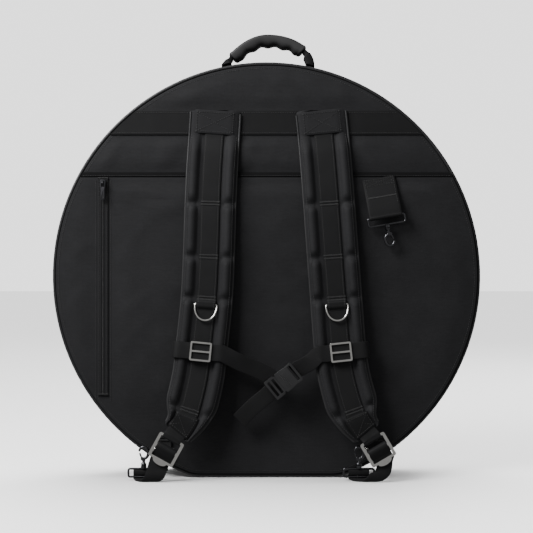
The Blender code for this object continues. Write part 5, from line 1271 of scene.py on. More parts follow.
# Ladder locks and adjuster webbing. Pressed nickel locks take the strap's webbing on their top bar;
# the adjuster goes round the middle bar, over the lower one and down to the hook's frame.
NICKEL = (0.62, 0.61, 0.59)
nickel = worn_metal("bright_nickel", NICKEL, 0.20, 0.12)
BAR_HEIGHT = 0.0056
HOOK_Y = -0.0720
HOOK_X = {"left": -0.1790, "right": 0.1345}
HOOK_FRAME_WIRE = 0.0016
ADJUSTER_WIDTH, ADJUSTER_STEPS = 0.0300, 156
WEAVE = [(0, 1.6, -0.25), (0, 1.0, 0.8), (0, 0, 1.12), (0, -1.0, 0.85), (0.55, 0, 0), (1, 1.0, -0.85),
         (1, 0, -1.1), (1, -1.0, -1.15)]
FOLDS = [(0.10, -0.06, 0.66), (0.24, -0.12, 0.34), (0.42, -0.04, 0.10), (0.64, 0.22, 0.0), (0.86, 0.60, 0.0)]


def oblong(wide, low, high):
    return [(-wide, low), (wide, low), (wide, high), (-wide, high)]


def round_bar(centre, ahead, up, loop, turns):
    """Webbing's middle line round a bar, at these turns in degrees."""
    angles = [math.radians(turn) for turn in turns]
    return [centre + (ahead * math.cos(angle) + up * math.sin(angle)) * loop for angle in angles]


for strap in straps:
    half, wide, inside = LOCK_LENGTH / 2, LOCK_WIDTH / 2, LOCK_WIDTH / 2 - 0.0042
    outline = rounded(oblong(wide, -half, half), 0.0034)
    turns = [math.pi + math.pi * n / 16 for n in range(17)]
    lip = [(0.0110 * math.cos(turn), -half + 0.0055 * math.sin(turn)) for turn in turns]
    left = [p for p in outline if p[0] < 0 and p[1] < 0]
    right = [p for p in outline if not (p[0] < 0 and p[1] < 0)]
    slots = [rounded(oblong(inside, low, high), 0.0012)
             for low, high in ((LOCK_BAR / 2, half - LOCK_BAR), (-half + LOCK_BAR, -LOCK_BAR / 2))]
    piece = stamped("bag_ladder_lock_" + strap.side, left + lip + right, slots, LOCK_THICKNESS, strap.lock,
                    nickel, 0.0009)
    fit(piece, strap.body, "bright_nickel", "ladder_lock_" + strap.side)

    route = [strap.lock @ Vector((0, y * LOCK_BAR - down * BAR_PLACE, z * BAR_CLEARANCE))
             for down, y, z in WEAVE]
    centre = Vector((HOOK_X[strap.side], HOOK_Y, BAR_HEIGHT))
    leave = route[-1]
    floor = WEB / 2 + SMALL_GAP
    for across, back, height in FOLDS:
        route.append(Vector((leave.x + (centre.x - leave.x) * across, leave.y + (centre.y - leave.y) * back,
                             floor + (leave.z - floor) * height)))
    loop = HOOK_FRAME_WIRE + 2 * SMALL_GAP + WEB / 2
    route += round_bar(centre, Vector((0, 1, 0)), Vector((0, 0, 1)), loop, (-125, -90, -45, 0, 50))
    points = smooth_line(route, ADJUSTER_STEPS)
    for point in points:
        point.z = max(point.z, floor)

    def turned_level(n):
        """The webbing turns from the lock's own direction to lie level at the hook."""
        return strap.lock_across.lerp(ACROSS, ease(n / ADJUSTER_STEPS, 0.36, 0.16)).normalized()

    route = frames_along(points, turned_level, False)
    run = flat_webbing("bag_adjuster_" + strap.side, route, ADJUSTER_WIDTH)
    fit(run, strap.body, "black_webbing", "adjuster_webbing_" + strap.side)

# D-rings. Bent nickel wire: one hangs under each strap's webbing and one in a folded tab sewn low
# on the back at each side.
GUSSET_RING_X = {"left": -0.1510, "right": 0.1610}
GUSSET_RING_HEIGHT, GUSSET_TAB_TOP, GUSSET_TAB_WIDTH = 0.0440, 0.0640, 0.0220


def d_ring(name, width, drop, place):
    """A straight bar on top and a bow below it, welded on the bar."""
    half, deep = width / 2 + RING_WIRE, drop + 2 * RING_WIRE
    turns = [math.pi * n / 40 for n in range(41)]
    loop = [Vector((half * math.cos(turn), 0, -deep * max(math.sin(turn), 0) ** 0.8)) for turn in turns]
    loop += [Vector((-half + 2 * half * n / 24, 0, 0)) for n in range(1, 24)]
    soft = [(loop[n - 1] + loop[n] * 2 + loop[(n + 1) % len(loop)]) / 4 for n in range(len(loop))]
    rings = moved(wire_rings(soft, RING_WIRE, closed=True, sides=14), place)
    return fit(skin("bag_" + name, rings, nickel, closed=True), name, "bright_nickel", name)


for strap in straps:
    reach = strap.ring_reach
    point, across, outward = strap.frame(reach)
    place = axes(point + outward * (strap.seat(reach) + RING_WIRE), across, -outward, outward.cross(across))
    d_ring("strap_ring_" + strap.side, 0.0294, 0.0210, place @ Matrix.Rotation(-math.radians(12), 4, "X"))

    x = GUSSET_RING_X[strap.side]
    bar = Vector((x, POCKET_FACE - 2 * SMALL_GAP - WEB - RING_WIRE, GUSSET_RING_HEIGHT))
    loop = RING_WIRE + SMALL_GAP + WEB / 2
    back, front = bar.y + loop, bar.y + loop - 1.3 * WEB
    points = [Vector((x, back, GUSSET_TAB_TOP)), Vector((x, back, GUSSET_RING_HEIGHT + loop))]
    points += round_bar(bar, Vector((0, 1, 0)), Vector((0, 0, 1)), loop, (*range(0, -201, -25), -215))
    points += [Vector((x, front, GUSSET_RING_HEIGHT + 2 * loop)), Vector((x, front, GUSSET_TAB_TOP))]
    route = frames_along(points, lambda n: ACROSS)
    tab = flat_webbing("bag_gusset_tab_" + strap.side, route, GUSSET_TAB_WIDTH)
    fit(tab, "case", "black_webbing", "gusset_tab_" + strap.side)
    d_ring("gusset_ring_" + strap.side, 0.0260, 0.0190, Matrix.Translation(bar))

# Chest strap. Webbing goes round each pad under a nickel slider; the left one folds at the buckle
# and ends in a loose tail, and the right one goes round the buckle's end bar.
CHEST_WIDTH = 0.0240
BUCKLE_WIDTH, BUCKLE_THICKNESS = 0.0320, 0.0100
FEMALE_MOUTH, FEMALE_LENGTH, MALE_BASE = -0.0040, 0.0300, 0.0180
BUCKLE_TURN = math.radians(39)
buckle = standing((math.cos(BUCKLE_TURN), 0, math.sin(BUCKLE_TURN)), (0, -1, 0), (0.0235, -0.0850, 0.1453))
ROUND_PAD = [(-0.45, 1, 0), (0.5, 1, 0), (0.86, 1, 0), (1.0, 0.1, 0), (1.03, 0, 0.35), (0.98, 0, 0.75),
             (0.84, 0, 1), (0.5, 0, 1), (0, 0, 1), (-0.5, 0, 1), (-0.8, 0, 1)]
PAD_CLEARANCE = 0.0005
SLIDER_THICKNESS, SLIDER_BAR = 0.0022, 0.0026


def sagging(start, end, sags):
    return [start.lerp(end, along) - Vector((0, 0, sag * CHEST_WIDTH)) for along, sag in sags]


for strap in straps:
    side = strap.side
    reach = strap.reach_at(STERNUM_HEIGHT)
    wide = strap.half_width(reach) + 0.0022 + WEB / 2
    behind, ahead = -0.0022 - WEB / 2, PAD_THICKNESS + PAD_CLEARANCE + WEB / 2
    route = [strap.at(reach, strap.sign * cross * wide, back * behind + fore * ahead)
             for cross, back, fore in ROUND_PAD]
    male_end = FEMALE_MOUTH - MALE_BASE
    facing = None
    if side == "left":
        back = -(BUCKLE_THICKNESS / 2 + 0.0050)
        fold = buckle @ Vector((male_end + 0.42 * MALE_BASE, 0.95 * BUCKLE_WIDTH, back))
        route += sagging(route[-1], fold, [(0.45, 0.070), (0.85, 0.035)])
        route.append(fold + Vector((0.35, 0, -0.25)) * CHEST_WIDTH)
        for along, across in ((0.62, 0.42), (0.10, 0)):
            route.append(buckle @ Vector((male_end + along * MALE_BASE, across * BUCKLE_WIDTH, back)))
        for along, across, off in ((0.40, -0.06, 1.0), (0.75, -0.16, 1.4)):
            route.append(buckle @ Vector((male_end - along * 0.0850, across * BUCKLE_WIDTH, off * back)))
        steps = 168
    else:
        back = BUCKLE_THICKNESS / 2 + SMALL_GAP + WEB / 2
        end = FEMALE_MOUTH + FEMALE_LENGTH
        out = buckle @ Vector((end + 2 * WEB, 0, -back))
        route += sagging(route[-1], out, [(0.40, 0.105), (0.75, 0.070)])
        route.append(out)
        for along, off in ((1.5, 1.02), (0.4, 1.02), (-0.6, 0.95), (-1.05, 0.70), (-1.05, 0)):
            route.append(buckle @ Vector((end - 0.0035 + along * WEB, 0, -off * back)))
        steps = 192
        facing = buckle.translation - buckle @ Vector((0, 1, 0))
    points = smooth_line(route, steps)
    point, across, outward = strap.frame(reach)
    up = outward.cross(across) * -strap.sign
    inner_edge = strap.at(reach, -strap.sign * PAD_WIDTH / 2)

    def chest_across(n):
        past = (points[n].x - inner_edge.x) * -strap.sign
        run = points[min(n + 1, len(points) - 1)] - points[max(n - 1, 0)]
        towards = facing or Vector((0, -1, 0)).cross(run).normalized()
        return up.lerp(towards, ease(past, -CHEST_WIDTH / 4, CHEST_WIDTH)).normalized()

    run = flat_webbing("bag_sternum_webbing_" + side, frames_along(points, chest_across), CHEST_WIDTH)
    fit(run, "sternum_" + side, "black_webbing", "sternum_webbing_" + side)

    front = PAD_THICKNESS + PAD_CLEARANCE + WEB + SMALL_GAP + SLIDER_THICKNESS / 2
    place = axes(point + outward * front, across, outward.cross(across), outward)
    wide, half = 0.0155, 0.0140
    slots = [rounded(oblong(wide - SLIDER_BAR, low, high), 0.0012)
             for low, high in ((-half + SLIDER_BAR, -SLIDER_BAR / 2), (SLIDER_BAR / 2, half - SLIDER_BAR))]
    slider = stamped("bag_sternum_slider_" + side, rounded(oblong(wide, -half, half), 0.0028), slots,
                     SLIDER_THICKNESS, place, nickel, 0.0007)
    fit(slider, "sternum_" + side, "bright_nickel", "sternum_slider_" + side)

# Side-release buckle. Moulded acetal in two parts: a hollow shell with finger windows and a slot,
# and a prong part with a guide, which snap together.
PLASTIC = (0.0165, 0.0165, 0.0175)
PRONG_THICKNESS, SHELL_WALL, MALE_BAR = 0.0050, 0.0022, 0.0032
plastic, plastic_shader, thread = finish("black_plastic", PLASTIC, 0.36)
rub = thread.noise(70.0, 3.0)
tinted(plastic_shader, PLASTIC, rub, 0.20)
(rub * 0.16 + 0.28).into(plastic_shader, "Roughness")
raised(plastic_shader, thread.noise(1400.0), 0.25, 0.00005)


def hollowed(piece, tools):
    """Cuts each tool out of a moulding and puts the result back as plain mesh."""
    for tool in tools:
        cut = piece.modifiers.new("cut", "BOOLEAN")
        cut.object, cut.operation, cut.solver = tool, "DIFFERENCE", "EXACT"
    mesh = plain_mesh(piece)
    piece.modifiers.clear()
    for tool in tools:
        bpy.data.objects.remove(tool)
    piece.data = mesh
    mesh.shade_smooth()
    mesh.set_sharp_from_angle(angle=math.radians(35))
    return piece


def cutter(length, width, depth, x):
    """A block to cut with, this far along the buckle."""
    place = buckle @ Matrix.Translation((x, 0, 0))
    return stamped("cutter", oblong(length / 2, -width / 2, width / 2), [], depth, place, plastic, 0.00005, 1)


start, end, half = FEMALE_MOUTH, FEMALE_MOUTH + FEMALE_LENGTH, BUCKLE_WIDTH / 2
waist, gap = half - 0.0011, half - 0.0035
outline = rounded(mirrored([(start, -half), (start + 0.0105, -half), (start + 0.0180, -waist),
                            (end - 0.0022, -half), (end, -half + 0.0022)]), 0.0022, 4)
slot = rounded(mirrored([(end - 0.0080, -gap), (end - 0.0035, -gap)]), 0.0010, 3)
shell = stamped("bag_buckle_shell", outline, [slot], BUCKLE_THICKNESS, buckle, plastic, 0.0018, 4)
inside = BUCKLE_WIDTH - 2 * SHELL_WALL
room = PRONG_THICKNESS + 0.0012
shell = hollowed(shell, [cutter(0.0400, inside, room, start),
                         cutter(0.0080, 2 * BUCKLE_WIDTH, room - 0.0006, start + 0.0080)])
fit(shell, "sternum_right", "black_plastic", "buckle_female")
lines = [[(buckle @ Vector((start + along, y, BUCKLE_THICKNESS / 2)), Vector((0, -1, 0)))
          for y in (-0.0095, 0.0095)] for along in (0.0065, 0.0088, 0.0111)]
grips = beads("buckle_grip_lines", lines, 0.0019, (0.0021, 0.0011, 0.0009), plastic, uneven=0)
fit(grips, "sternum_right", "black_plastic")

prong_half, guide = inside / 2 - 0.0006, 0.0020
base = start - 0.0006
neck, shoulder = base - 0.0015, base - 0.0030
back, tip, prong_in = base - MALE_BASE, base + 0.0194, prong_half - 0.0050
outline = mirrored([(back, -half), (shoulder, -half), (neck, -prong_half), (tip - 0.0050, -prong_half),
                    (tip, -prong_half + 0.0025), (tip - 0.0025, -prong_in), (base + 0.0025, -prong_in),
                    (base + 0.0025, -guide), (tip - 0.0050, -guide)])
slot_length = (MALE_BASE - 3 * MALE_BAR) / 2
slots = []
for low in (back + MALE_BAR, back + 2 * MALE_BAR + slot_length):
    slots.append(rounded(mirrored([(low, -gap), (low + slot_length, -gap)]), 0.0010, 3))
prongs = stamped("bag_buckle_prongs", rounded(outline, 0.0012, 3), slots, PRONG_THICKNESS, buckle, plastic,
                 0.0009)
fit(prongs, "buckle_male", "black_plastic", "buckle_male")

# Swivel snap hooks. Black-nickel castings: a wire frame with a swivel boss, a claw that turns in it
# and a sprung gate; two lie at the foot of the straps, with the webbing's sewn end folded in their
# frames, and one hangs from the shoulder tab.
BLACK_NICKEL = (0.075, 0.075, 0.08)
black_nickel = worn_metal("black_nickel", BLACK_NICKEL, 0.24, 0.12)
CLAW_RADIUS = 0.0068
LOWER_FRAME_WIDTH, TAB_WIDTH = 0.0380, 0.0480


def turned_bar(profile, place):
    """A turned part: (height, radius) profile round its own Z."""
    rings = [[place @ Vector((r * math.cos(math.tau * k / 24), r * math.sin(math.tau * k / 24), z))
              for k in range(24)] for z, r in profile]
    return skin("turned", rings, black_nickel)


def snap_hook(suffix, webbing_width, place, frame_body):
    half, foot, corner = webbing_width / 2 + 0.0032, -0.0118, 0.0028
    line = []
    high, low, wide = -corner, foot + corner, half - corner
    for x, z, first in ((wide, high, 0), (-wide, high, 90), (-wide, low, 180), (wide, low, 270)):
        for k in range(9):
            angle = math.radians(first + 90 * k / 8)
            line.append(Vector((x + corner * math.cos(angle), 0, z + corner * math.sin(angle))))
    loop = []
    for here, after in zip(line, [*line[1:], line[0]]):
        steps = max(1, round((after - here).length / 0.004))
        loop += [here.lerp(after, k / steps) for k in range(steps)]
    wire = wire_rings(loop, HOOK_FRAME_WIRE, closed=True, sides=14)
    middle = foot + HOOK_FRAME_WIRE / 2 - 0.0030
    boss = [(-0.0030, 0.0036), (-0.0026, 0.0041), (0.0012, 0.0042), (0.0018, 0.0034), (0.0024, 0.0034),
            (0.0030, 0.0028)]
    frame_parts = [skin("frame", moved(wire, place), black_nickel, closed=True),
                   turned_bar([(middle + z, r) for z, r in boss], place)]
    fit(welded("bag_hook_frame_" + suffix, frame_parts), frame_body, "black_nickel", "hook_frame_" + suffix)

    top = middle - 0.0030 - SMALL_GAP
    centre = Vector((0, 0, top - 0.0175))
    points = [Vector((0, 0, top - 0.0011)), Vector((0, 0, top - 0.0044))]
    for n in range(12):
        angle = math.radians(100 + 245 * n / 11)
        points.append(centre + Vector((math.cos(angle), 0, math.sin(angle) * 1.25)) * CLAW_RADIUS)

    def claw(share):
        return 0.0022 * (1 - 0.22 * ease(share, 0.80, 0.20)) * (1 - 0.35 * ease(share, 0.975, 0.025))

    rings = moved(wire_rings(smooth_line(points, 70), claw, sides=14), place)
    head = turned_bar([(top - 0.0040, 0.0024), (top - 0.0026, 0.0034), (top - 0.0019, 0.0040),
                       (top - 0.0004, 0.0040), (top, 0.0036)], place)
    pivot = centre + Vector((0.40, 0, 1.22)) * CLAW_RADIUS
    shape = [(-0.0016, 0.0035), (0.0002, 0.0040), (0.0042, 0.0019), (0.0046, -0.0009), (0.0024, -0.0022),
             (-0.0014, -0.0016)]
    shape = rounded([(pivot.x - 0.0027 + x, pivot.z + z) for x, z in shape], 0.0014)
    upright = place @ Matrix.Rotation(math.radians(90), 4, "X")
    cheeks = []
    for y in (-0.0025, 0.0016):
        at = upright @ Matrix.Translation((0, 0, y))
        cheeks.append(stamped("cheek", shape, [], 0.0009, at, black_nickel, 0.0002, 2))
    hook = welded("bag_snap_hook_" + suffix, [skin("claw", rings, black_nickel), head, *cheeks])
    fit(hook, "snap_hook_" + suffix, "black_nickel", "snap_hook_" + suffix)

    end = points[-1] - (points[-1] - pivot).normalized() * 0.0025

    def gate(share):
        return 0.0013 * (1 - 0.3 * ease(share, 0.93, 0.07)) * (1 - 0.25 * ease(1 - share, 0.95, 0.05))

    rings = wire_rings([pivot.lerp(end, k / 12) for k in range(13)], gate)
    gate_piece = skin("bag_hook_gate_" + suffix, moved(rings, place), black_nickel)
    fit(gate_piece, "hook_gate_" + suffix, "black_nickel", "hook_gate_" + suffix)


for side in ("left", "right"):
    place = Matrix.Translation((HOOK_X[side], HOOK_Y, BAR_HEIGHT)) @ Matrix.Rotation(math.pi, 4, "Y")
    snap_hook(side, LOWER_FRAME_WIDTH, place, "strap_" + side)
    turns = [math.tau * n / 20 for n in range(20)]
    rings = [[Vector((ADJUSTER_WIDTH * (k / 8 - 0.5), 0.0019 * math.cos(turn),
                      0.0045 * blunt(math.sin(turn), 0.6) - 0.0059)) for turn in turns] for k in range(9)]
    fit(skin("bag_hook_fold_" + side, moved(rings, place), webbing), "strap_" + side, "black_webbing")

# Shoulder tab. A wide webbing tab sewn into the pocket's hem, bowed off the bag by the third hook,
# which lies in its loop.
bar = Vector((0.1748, POCKET_FACE - 0.0150, 0.3855))
top = Vector((0.1650, POCKET_FACE - 2 * SMALL_GAP - WEB, 0.4425))
down = (bar - top).normalized()
lean = Vector((down.x, 0, down.z)).normalized()
tab_across = Vector((-lean.z, 0, lean.x))
tab_out = lean.cross(tab_across)
loop = HOOK_FRAME_WIRE + SMALL_GAP + WEB / 2
route = [top, *(top.lerp(bar, along) + tab_out * (loop * off) for along, off in ((0.30, 0.50), (0.75, 0.90)))]
route += round_bar(bar, tab_out, -lean, loop, (60, 30, 0, -40, -90, -140, -180, -205))
tab_line = frames_along(smooth_line(route, 104), lambda n: tab_across)
fit(flat_webbing("bag_shoulder_tab", tab_line, TAB_WIDTH), "shoulder_tab", "black_webbing", "shoulder_tab")
snap_hook("shoulder", TAB_WIDTH, axes(bar, tab_across, -tab_out, -lean), "shoulder_tab")

# Strap anchors. A polyester patch covers each strap's head over the band, and a rough woven patch
# its foot above the ladder lock; both are sewn through everything below.
for strap in straps:
    for name, first, last, half, cloth, slot in (
            ("anchor", 0.0006, 0.0352, 0.0300, polyester, "black_polyester"),
            ("foot_patch", strap.patch_reach, strap.end - 0.0030, 0.0175, webbing, "black_webbing")):
        rings = []
        for n in range(29):
            reach = first + (last - first) * n / 28
            base = strap.seat(reach) + WEB + 0.0001
            if name == "anchor":
                base = max(strap.seat(reach) + WEB, PAD_THICKNESS * strap.swell(reach)) + 0.0002
            rise = 0.0009 if 0 < n < 28 else 0.0003
            upper, lower = [], []
            for k in range(17):
                share = k / 8 - 1
                droop = 0.0010 * max(abs(share) - 0.82, 0) / 0.18
                upper.append(strap.at(reach, share * half, base + rise * (1 - 0.5 * abs(share) ** 8) - droop))
                lower.append(strap.at(reach, share * half * 0.995, base - 0.0001 - droop))
            rings.append(upper + lower[::-1])
        patch = skin("bag_strap_" + name + "_" + strap.side, rings, cloth, uv=lay_flat)
        fit(patch, strap.body, slot)

# Stitching. Black thread in straight runs beside every seam, box-and-cross stitches where webbing
# is anchored, and dense bartacks across the straps. The bead tree lays every run.
THREAD = (0.0120, 0.0120, 0.0125)
STITCH = (0.0028, 0.0009, 0.0008)
STITCH_PITCH = 0.0035
TACK = (0.0009, 0.0034, 0.0010)
TACK_PITCH = 0.0010
black_thread, thread_shader, thread = finish("black_thread", THREAD, 0.55, sheen=0.1)
raised(thread_shader, thread.noise(500.0), 0.3, 0.00005)
BACK_WAY, FRONT_WAY = Vector((0, -1, 0)), Vector((0, 1, 0))


def sewn(name, body, lines):
    fit(beads(name, lines, STITCH_PITCH, STITCH, black_thread), body, "black_webbing")


def tacked(name, body, lines):
    fit(beads(name, lines, TACK_PITCH, TACK, black_thread, uneven=0.12), body, "black_webbing")


def straight(start, end, way, count=12):
    start, end = Vector(start), Vector(end)
    return [(start.lerp(end, n / count), way) for n in range(count + 1)]


def level(left, right, y, z, way, count):
    return straight((left, y, z), (right, y, z), way, count)


def cross_box(corners, way):
    """A rectangle of stitches with both diagonals."""
    a, b, c, d = corners
    return [straight(p, q, way, 8) for p, q in ((a, b), (b, c), (c, d), (d, a), (a, c), (b, d))]


def on_gusset(y, end=ZIP_END - 0.02):
    """A run round the rim on the gusset."""
    return [(point - way * (GUSSET_INSET - 0.0003) + Vector((0, y, 0)), way) for point, way in rim(-end, end)]


def on_panel(start, end, inset, depth, way):
    """A run on a panel beside the rim; depth(x, z) is its distance from the middle of the case."""
    line = []
    for point, outward in rim(start, end):
        place = point - outward * inset
        line.append((Vector((place.x, way.y * (depth(place.x, place.z) + 0.0002), place.z)), way))
    return line


def across_case(z, depth, inset, way):
    wide = half_chord(z, inset)
    return level(-wide, wide, way.y * depth, z, way, 60)


SEAM = 0.0095
SEAM_INSIDE = SEAM - PANEL_INSET
WELT = 0.0058
PATCH_SEAM = 0.0130
band_face = HALF_DEPTH + SMALL_GAP + WEB + 0.0002
hem_face = HALF_DEPTH + SMALL_GAP + 0.0042
lines = [across_case(z, face, 0.0090, BACK_WAY) for z, face in
         ((BAND_BOTTOM + 0.0030, band_face), (BAND_TOP - 0.0030, band_face), (POCKET_TOP + 0.0020, hem_face))]


def on_pocket(x, z):
    return -POCKET_FACE + pocket_puff(x, z, SEAM_INSIDE - 0.0009)


def on_back(x, z):
    return HALF_DEPTH + back_puff(x, z, SEAM_INSIDE - 0.0016)


start = angle_at(POCKET_TOP - 0.006, SEAM)
lines.append(on_panel(start, math.tau - start, SEAM, on_pocket, BACK_WAY))
for first, low in ((0, BAND_TOP + 0.002), (angle_at(BAND_BOTTOM - 0.002, SEAM), POCKET_TOP + 0.010)):
    last = angle_at(low, SEAM)
    lines += [on_panel(near, far, SEAM, on_back, BACK_WAY) for near, far in ((first, last), (-last, -first))]
for offset in (-WELT, WELT):
    for x, face, high, low in ((POCKET_ZIP_X + offset, zip_face - 0.0019, 0.004, 0.319),
                               (POCKET_ZIP_X + 1.9 * offset, POCKET_FACE - 0.0003, 0.006, 0.330)):
        lines.append(straight((x, face, POCKET_TOP - high), (x, face, POCKET_TOP - low), BACK_WAY, 40))
lines += [on_gusset(-GUSSET_EDGE + 0.0035), on_gusset(SEAM_EDGE - 0.0030)]
end = math.radians(17.4)
for y in (-PATCH_SEAM, PATCH_SEAM):
    shift = Vector((0, HANDLE_Y + y, 0))
    lines.append([(point + way * 0.0011 + shift, way) for point, way in rim(-end, end)])
for angle in (17.4, 14.6, -14.6, -17.4):
    way = Vector((math.sin(math.radians(angle)), 0, math.cos(math.radians(angle))))
    here = Vector((0, HANDLE_Y, CASE_MIDDLE)) + way * (CASE_RADIUS + 0.0011)
    half = Vector((0, PATCH_SEAM, 0))
    lines.append(straight(here - half, here + half, way, 4))
sewn("case_stitches", "case", lines)
face = POCKET_FACE - 2 * SMALL_GAP - 2.6 * WEB
lines = [level(x - 0.0095, x + 0.0095, face, z, BACK_WAY, 4)
         for x in GUSSET_RING_X.values() for z in (0.0560, 0.0605)]
for z in (POCKET_TOP - 0.0016, POCKET_TOP - 0.3206):
    lines.append(level(POCKET_ZIP_X - 0.0072, POCKET_ZIP_X + 0.0072, zip_face - 0.0020, z, BACK_WAY, 4))
tacked("case_tacks", "case", lines)

pocket_seam = LID_POCKET_INSET + 0.0040
LID_SEAM = 0.0098


def on_lid(x, z):
    return HALF_DEPTH + lid_puff(x, z, LID_SEAM - PANEL_INSET - 0.0016)


def on_lid_pocket(x, z):
    return LID_POCKET_FACE + lid_pocket_puff(x, z, 0.0026)


lines = [on_gusset(GUSSET_EDGE - 0.0035), on_gusset(LID_SEAM_EDGE + 0.0030),
         on_panel(-ZIP_END + 0.03, ZIP_END - 0.03, LID_SEAM, on_lid, FRONT_WAY)]
start, stop = angle_at(LID_POCKET_TOP - 0.006, pocket_seam), angle_at(pocket_foot + 0.005, pocket_seam)
for near, far in ((start, stop), (-stop, -start)):
    lines.append(on_panel(near, far, pocket_seam, on_lid_pocket, FRONT_WAY))
for z in (LID_POCKET_TOP - 0.0040, pocket_foot + 0.0045):
    lines.append(across_case(z, LID_POCKET_FACE + 0.0004, LID_POCKET_INSET + 0.0060, FRONT_WAY))
for offset in (-WELT, WELT):
    lines.append(level(-zip_half, zip_half, lid_zip_face + 0.0019, LID_ZIP_HEIGHT + offset, FRONT_WAY, 60))
sewn("lid_stitches", "lid", lines)

for strap in straps:
    side, end = strap.side, strap.end
    out = PAD_THICKNESS * strap.swell(0.018) + 0.0013
    box = [strap.at(reach, x, out)
           for reach, x in ((0.0040, -0.0265), (0.0040, 0.0265), (0.0320, 0.0265), (0.0320, -0.0265))]
    lines = cross_box(box, strap.frame(0.018)[2])
    for edge in (-0.0115, 0.0115):
        run = []
        for n in range(161):
            reach = 0.040 + (strap.patch_reach - 0.042) * n / 160
            run.append((strap.at(reach, edge, strap.face(reach)), strap.frame(reach)[2]))
        lines.append(run)
    for edge in (-1, 1):
        run = []
        for n in range(161):
            reach = 0.040 + (end - 0.050) * n / 160
            wide = strap.half_width(reach)
            across = edge * (wide - 0.0042)
            full = (across * edge - CHANNEL / 2) / (wide - CHANNEL / 2)
            lift = PAD_THICKNESS * strap.swell(reach) * (0.72 + (0.46 - 0.72) * (full - 0.78) / 0.12)
            run.append((strap.at(reach, across, lift + 0.0002), strap.frame(reach)[2]))
        lines.append(run)
    low, high = strap.patch_reach + 0.0030, end - 0.0060
    box = [strap.at(reach, x, strap.face(reach) + 0.0011)
           for reach, x in ((low, -0.0145), (low, 0.0145), (high, 0.0145), (high, -0.0145))]
    lines += cross_box(box, strap.frame(low)[2])
    sewn("strap_stitches_" + side, strap.body, lines)
    lines = []
    for reach in strap.tacks:
        for shift in (-0.0022, 0.0022):
            out = strap.face(reach + shift) - 0.0001
            lines.append([(strap.at(reach + shift, 0.0132 * (n / 4 - 1), out), strap.frame(reach)[2])
                          for n in range(9)])
    tacked("strap_tacks_" + side, strap.body, lines)


def on_tab(n, edge, lift=0.0002):
    """A stitch on the shoulder tab's face."""
    point, across, outward = tab_line[n]
    return point + across * edge + outward * (WEB / 2 + lift), outward


lines = [[on_tab(n, edge) for n in range(2, 60, 3)] for edge in (-0.0210, 0.0210)]
corners = [on_tab(n, edge)[0] for n, edge in ((3, -0.0180), (3, 0.0180), (17, 0.0180), (17, -0.0180))]
lines += cross_box(corners, tab_out)
sewn("tab_stitches", "shoulder_tab", lines)
tacked("tab_tacks", "shoulder_tab", [[on_tab(44, 0.0205 * (n / 4 - 1), 0) for n in range(9)]])

# Lining. Grey nylon cloth bags out both halves of the case on their inner sides.
inner = HALF_DEPTH - PANEL_THICKNESS


def loose(x, z, inside):
    return max(0.0006 + 0.0006 * rumple(x, z, 0.060, 31), 0) * ease(inside, 0, 0.020)


for name, body, sign in (("back", "case", -1), ("lid", "lid", 1)):
    if sign < 0:
        outline, hub = round_outline(PANEL_INSET + 0.0040), (0, CASE_MIDDLE)
    else:
        outline, hub = [p + (Vector((0, 0, 0.30)) - p).normalized() * 0.0040 for p in lid_outline], (0, 0.32)
    sheet = leaf("bag_lining_" + name, outline, hub, sign * (inner - 0.0007), sign * (inner + 0.0005), loose,
                 lining, edge=0.0006, steps=24)
    fit(sheet, body, "grey_lining")
    low, high = (-inner, SEAM_EDGE - 0.0015) if sign < 0 else (LID_SEAM_EDGE + 0.0015, inner)
    depth = GUSSET_INSET + GUSSET_THICKNESS

    def sleeve_section(n, point):
        fold = 0.0010 + 0.0005 * rumple(point.x, point.z, 0.04, 6)
        return [(low, depth - 0.0004), (high, depth - 0.0004), (high, depth + 0.0004),
                ((low + high) / 2, depth + fold), (low, depth + 0.0004)]

    sleeve = along_rim("bag_lining_side_" + name, sleeve_section, -ZIP_END + 0.02, ZIP_END - 0.02, lining)
    fit(sleeve, body, "grey_lining")

# Dividers. Two foam leaves in lining cloth, quilted twice across, hang between the cymbals; each
# is sewn in along its foot.
DIVIDER_THICKNESS = 0.0050
DIVIDER_FOOT = 0.0061
QUILT_HEIGHTS = (0.20, 0.40)


def quilt(x, z, inside):
    seam = min(abs(z - height) for height in QUILT_HEIGHTS)
    return 0.0014 * ease(seam, 0, 0.020) * ease(inside, 0, 0.020) - 0.0007 * (1 - ease(seam, 0, 0.004))


for name, y in (("rear", -0.0120), ("front", 0.0060)):
    body = "divider_" + name
    cushion = leaf("bag_divider_" + name, round_outline(PANEL_INSET + 0.0100), (0, CASE_MIDDLE),
                   y + DIVIDER_THICKNESS / 2 - 0.0006, y - DIVIDER_THICKNESS / 2, quilt, lining,
                   edge=0.0020, steps=34)
    fit(cushion, body, "grey_lining", body)
    wide = CORNER_PLACE - 0.0080
    strip = ((0.0200, -0.0020), (0.0200, 0.0022), (DIVIDER_FOOT + 0.0004, 0.0022), (DIVIDER_FOOT, 0.0014),
             (DIVIDER_FOOT, -0.0014), (DIVIDER_FOOT + 0.0004, -0.0020))
    rings = [[Vector((wide * (2 * n / 32 - 1), y + side, z)) for z, side in strip] for n in range(33)]
    fit(skin("bag_divider_foot_" + name, rings, lining, uv=lay_flat), body, "grey_lining")
    seam = [level(-wide, wide, y + 0.0026, 0.0180, FRONT_WAY, 20)]
    for z in QUILT_HEIGHTS:
        seam.append(across_case(z, y + DIVIDER_THICKNESS / 2 - 0.0012, PANEL_INSET + 0.0140, FRONT_WAY))
    fit(beads("divider_stitches_" + name, seam, STITCH_PITCH, STITCH, black_thread), body, "grey_lining")

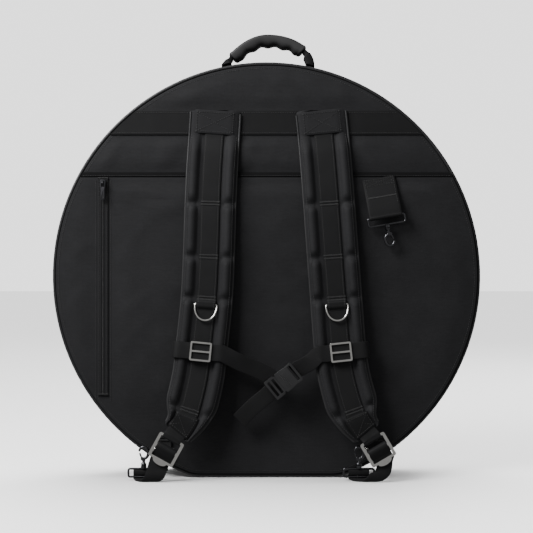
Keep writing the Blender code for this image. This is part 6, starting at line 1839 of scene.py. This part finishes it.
# Studio. A white table that runs on into a light background, one large soft lamp high on the left,
# weak ones on the right and behind, and light from above that only the table takes. The camera looks
# straight at the strap side from a little above the bag's middle.
TABLE = (0.90, 0.90, 0.90)
ROOM_LIGHT = 0.34
BACKGROUND_LIGHT = 2.1
TABLE_LIGHT = 4.8
PANELS = (("key", (-1.05, -0.92, 1.42), (0, 0, 0.35), 50, 1.0, 0.8),
          ("fill", (1.9, -1.8, 1.0), (0, 0, 0.3), 2, 1.2, 1.2),
          ("rear", (1.1, 1.6, 1.8), (0, 0, 0.3), 24, 1.2, 1.0))
table_finish, table_shader, thread = finish("studio_table", TABLE, 0.9, shine=0.1)
table_mesh = bpy.data.meshes.new("studio_table")
table_mesh.from_pydata([(-9, -6, 0), (9, -6, 0), (9, 14, 0), (-9, 14, 0)], [], [(0, 1, 2, 3)])
table_mesh.materials.append(table_finish)
table = hung("studio_table", table_mesh)
table.visible_diffuse = table.visible_glossy = table.visible_shadow = False
table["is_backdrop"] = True

world = bpy.data.worlds.new("studio")
world.use_nodes = True
room = world.node_tree.nodes["Background"]
room.inputs["Color"].default_value = (1, 1, 1, 1)
seen = Thread(world.node_tree, None).add("ShaderNodeLightPath")
(seen * (BACKGROUND_LIGHT - ROOM_LIGHT) + ROOM_LIGHT).into(room, "Strength")
bpy.context.scene.world = world


def lamp(name, kind, place, target, power):
    made = hung(name, bpy.data.lights.new(name, kind))
    made.data.energy = power
    made.location = place
    made.rotation_euler = (Vector(target) - Vector(place)).to_track_quat("-Z", "Y").to_euler()
    return made


for name, place, target, power, width, height in PANELS:
    panel = lamp(name, "AREA", place, target, power).data
    panel.shape = "RECTANGLE"
    panel.size, panel.size_y = width, height
above = lamp("above", "SUN", (0, 0.75, 3), (0, 0, 0), TABLE_LIGHT)
above.data.angle = math.radians(46)
lit = bpy.data.collections.new("lit_from_above")
lit.objects.link(table)
above.light_linking.receiver_collection = lit

camera = hung("camera", bpy.data.cameras.new("camera"))
camera.location = (0, -1.906, 0.312)
camera.rotation_euler = (math.radians(90), 0, 0)
camera.data.lens = 85
bpy.context.scene.camera = camera

low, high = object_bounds()
{"cad": [list(cad_low), list(cad_high)], "visual": [list(low), list(high)]}
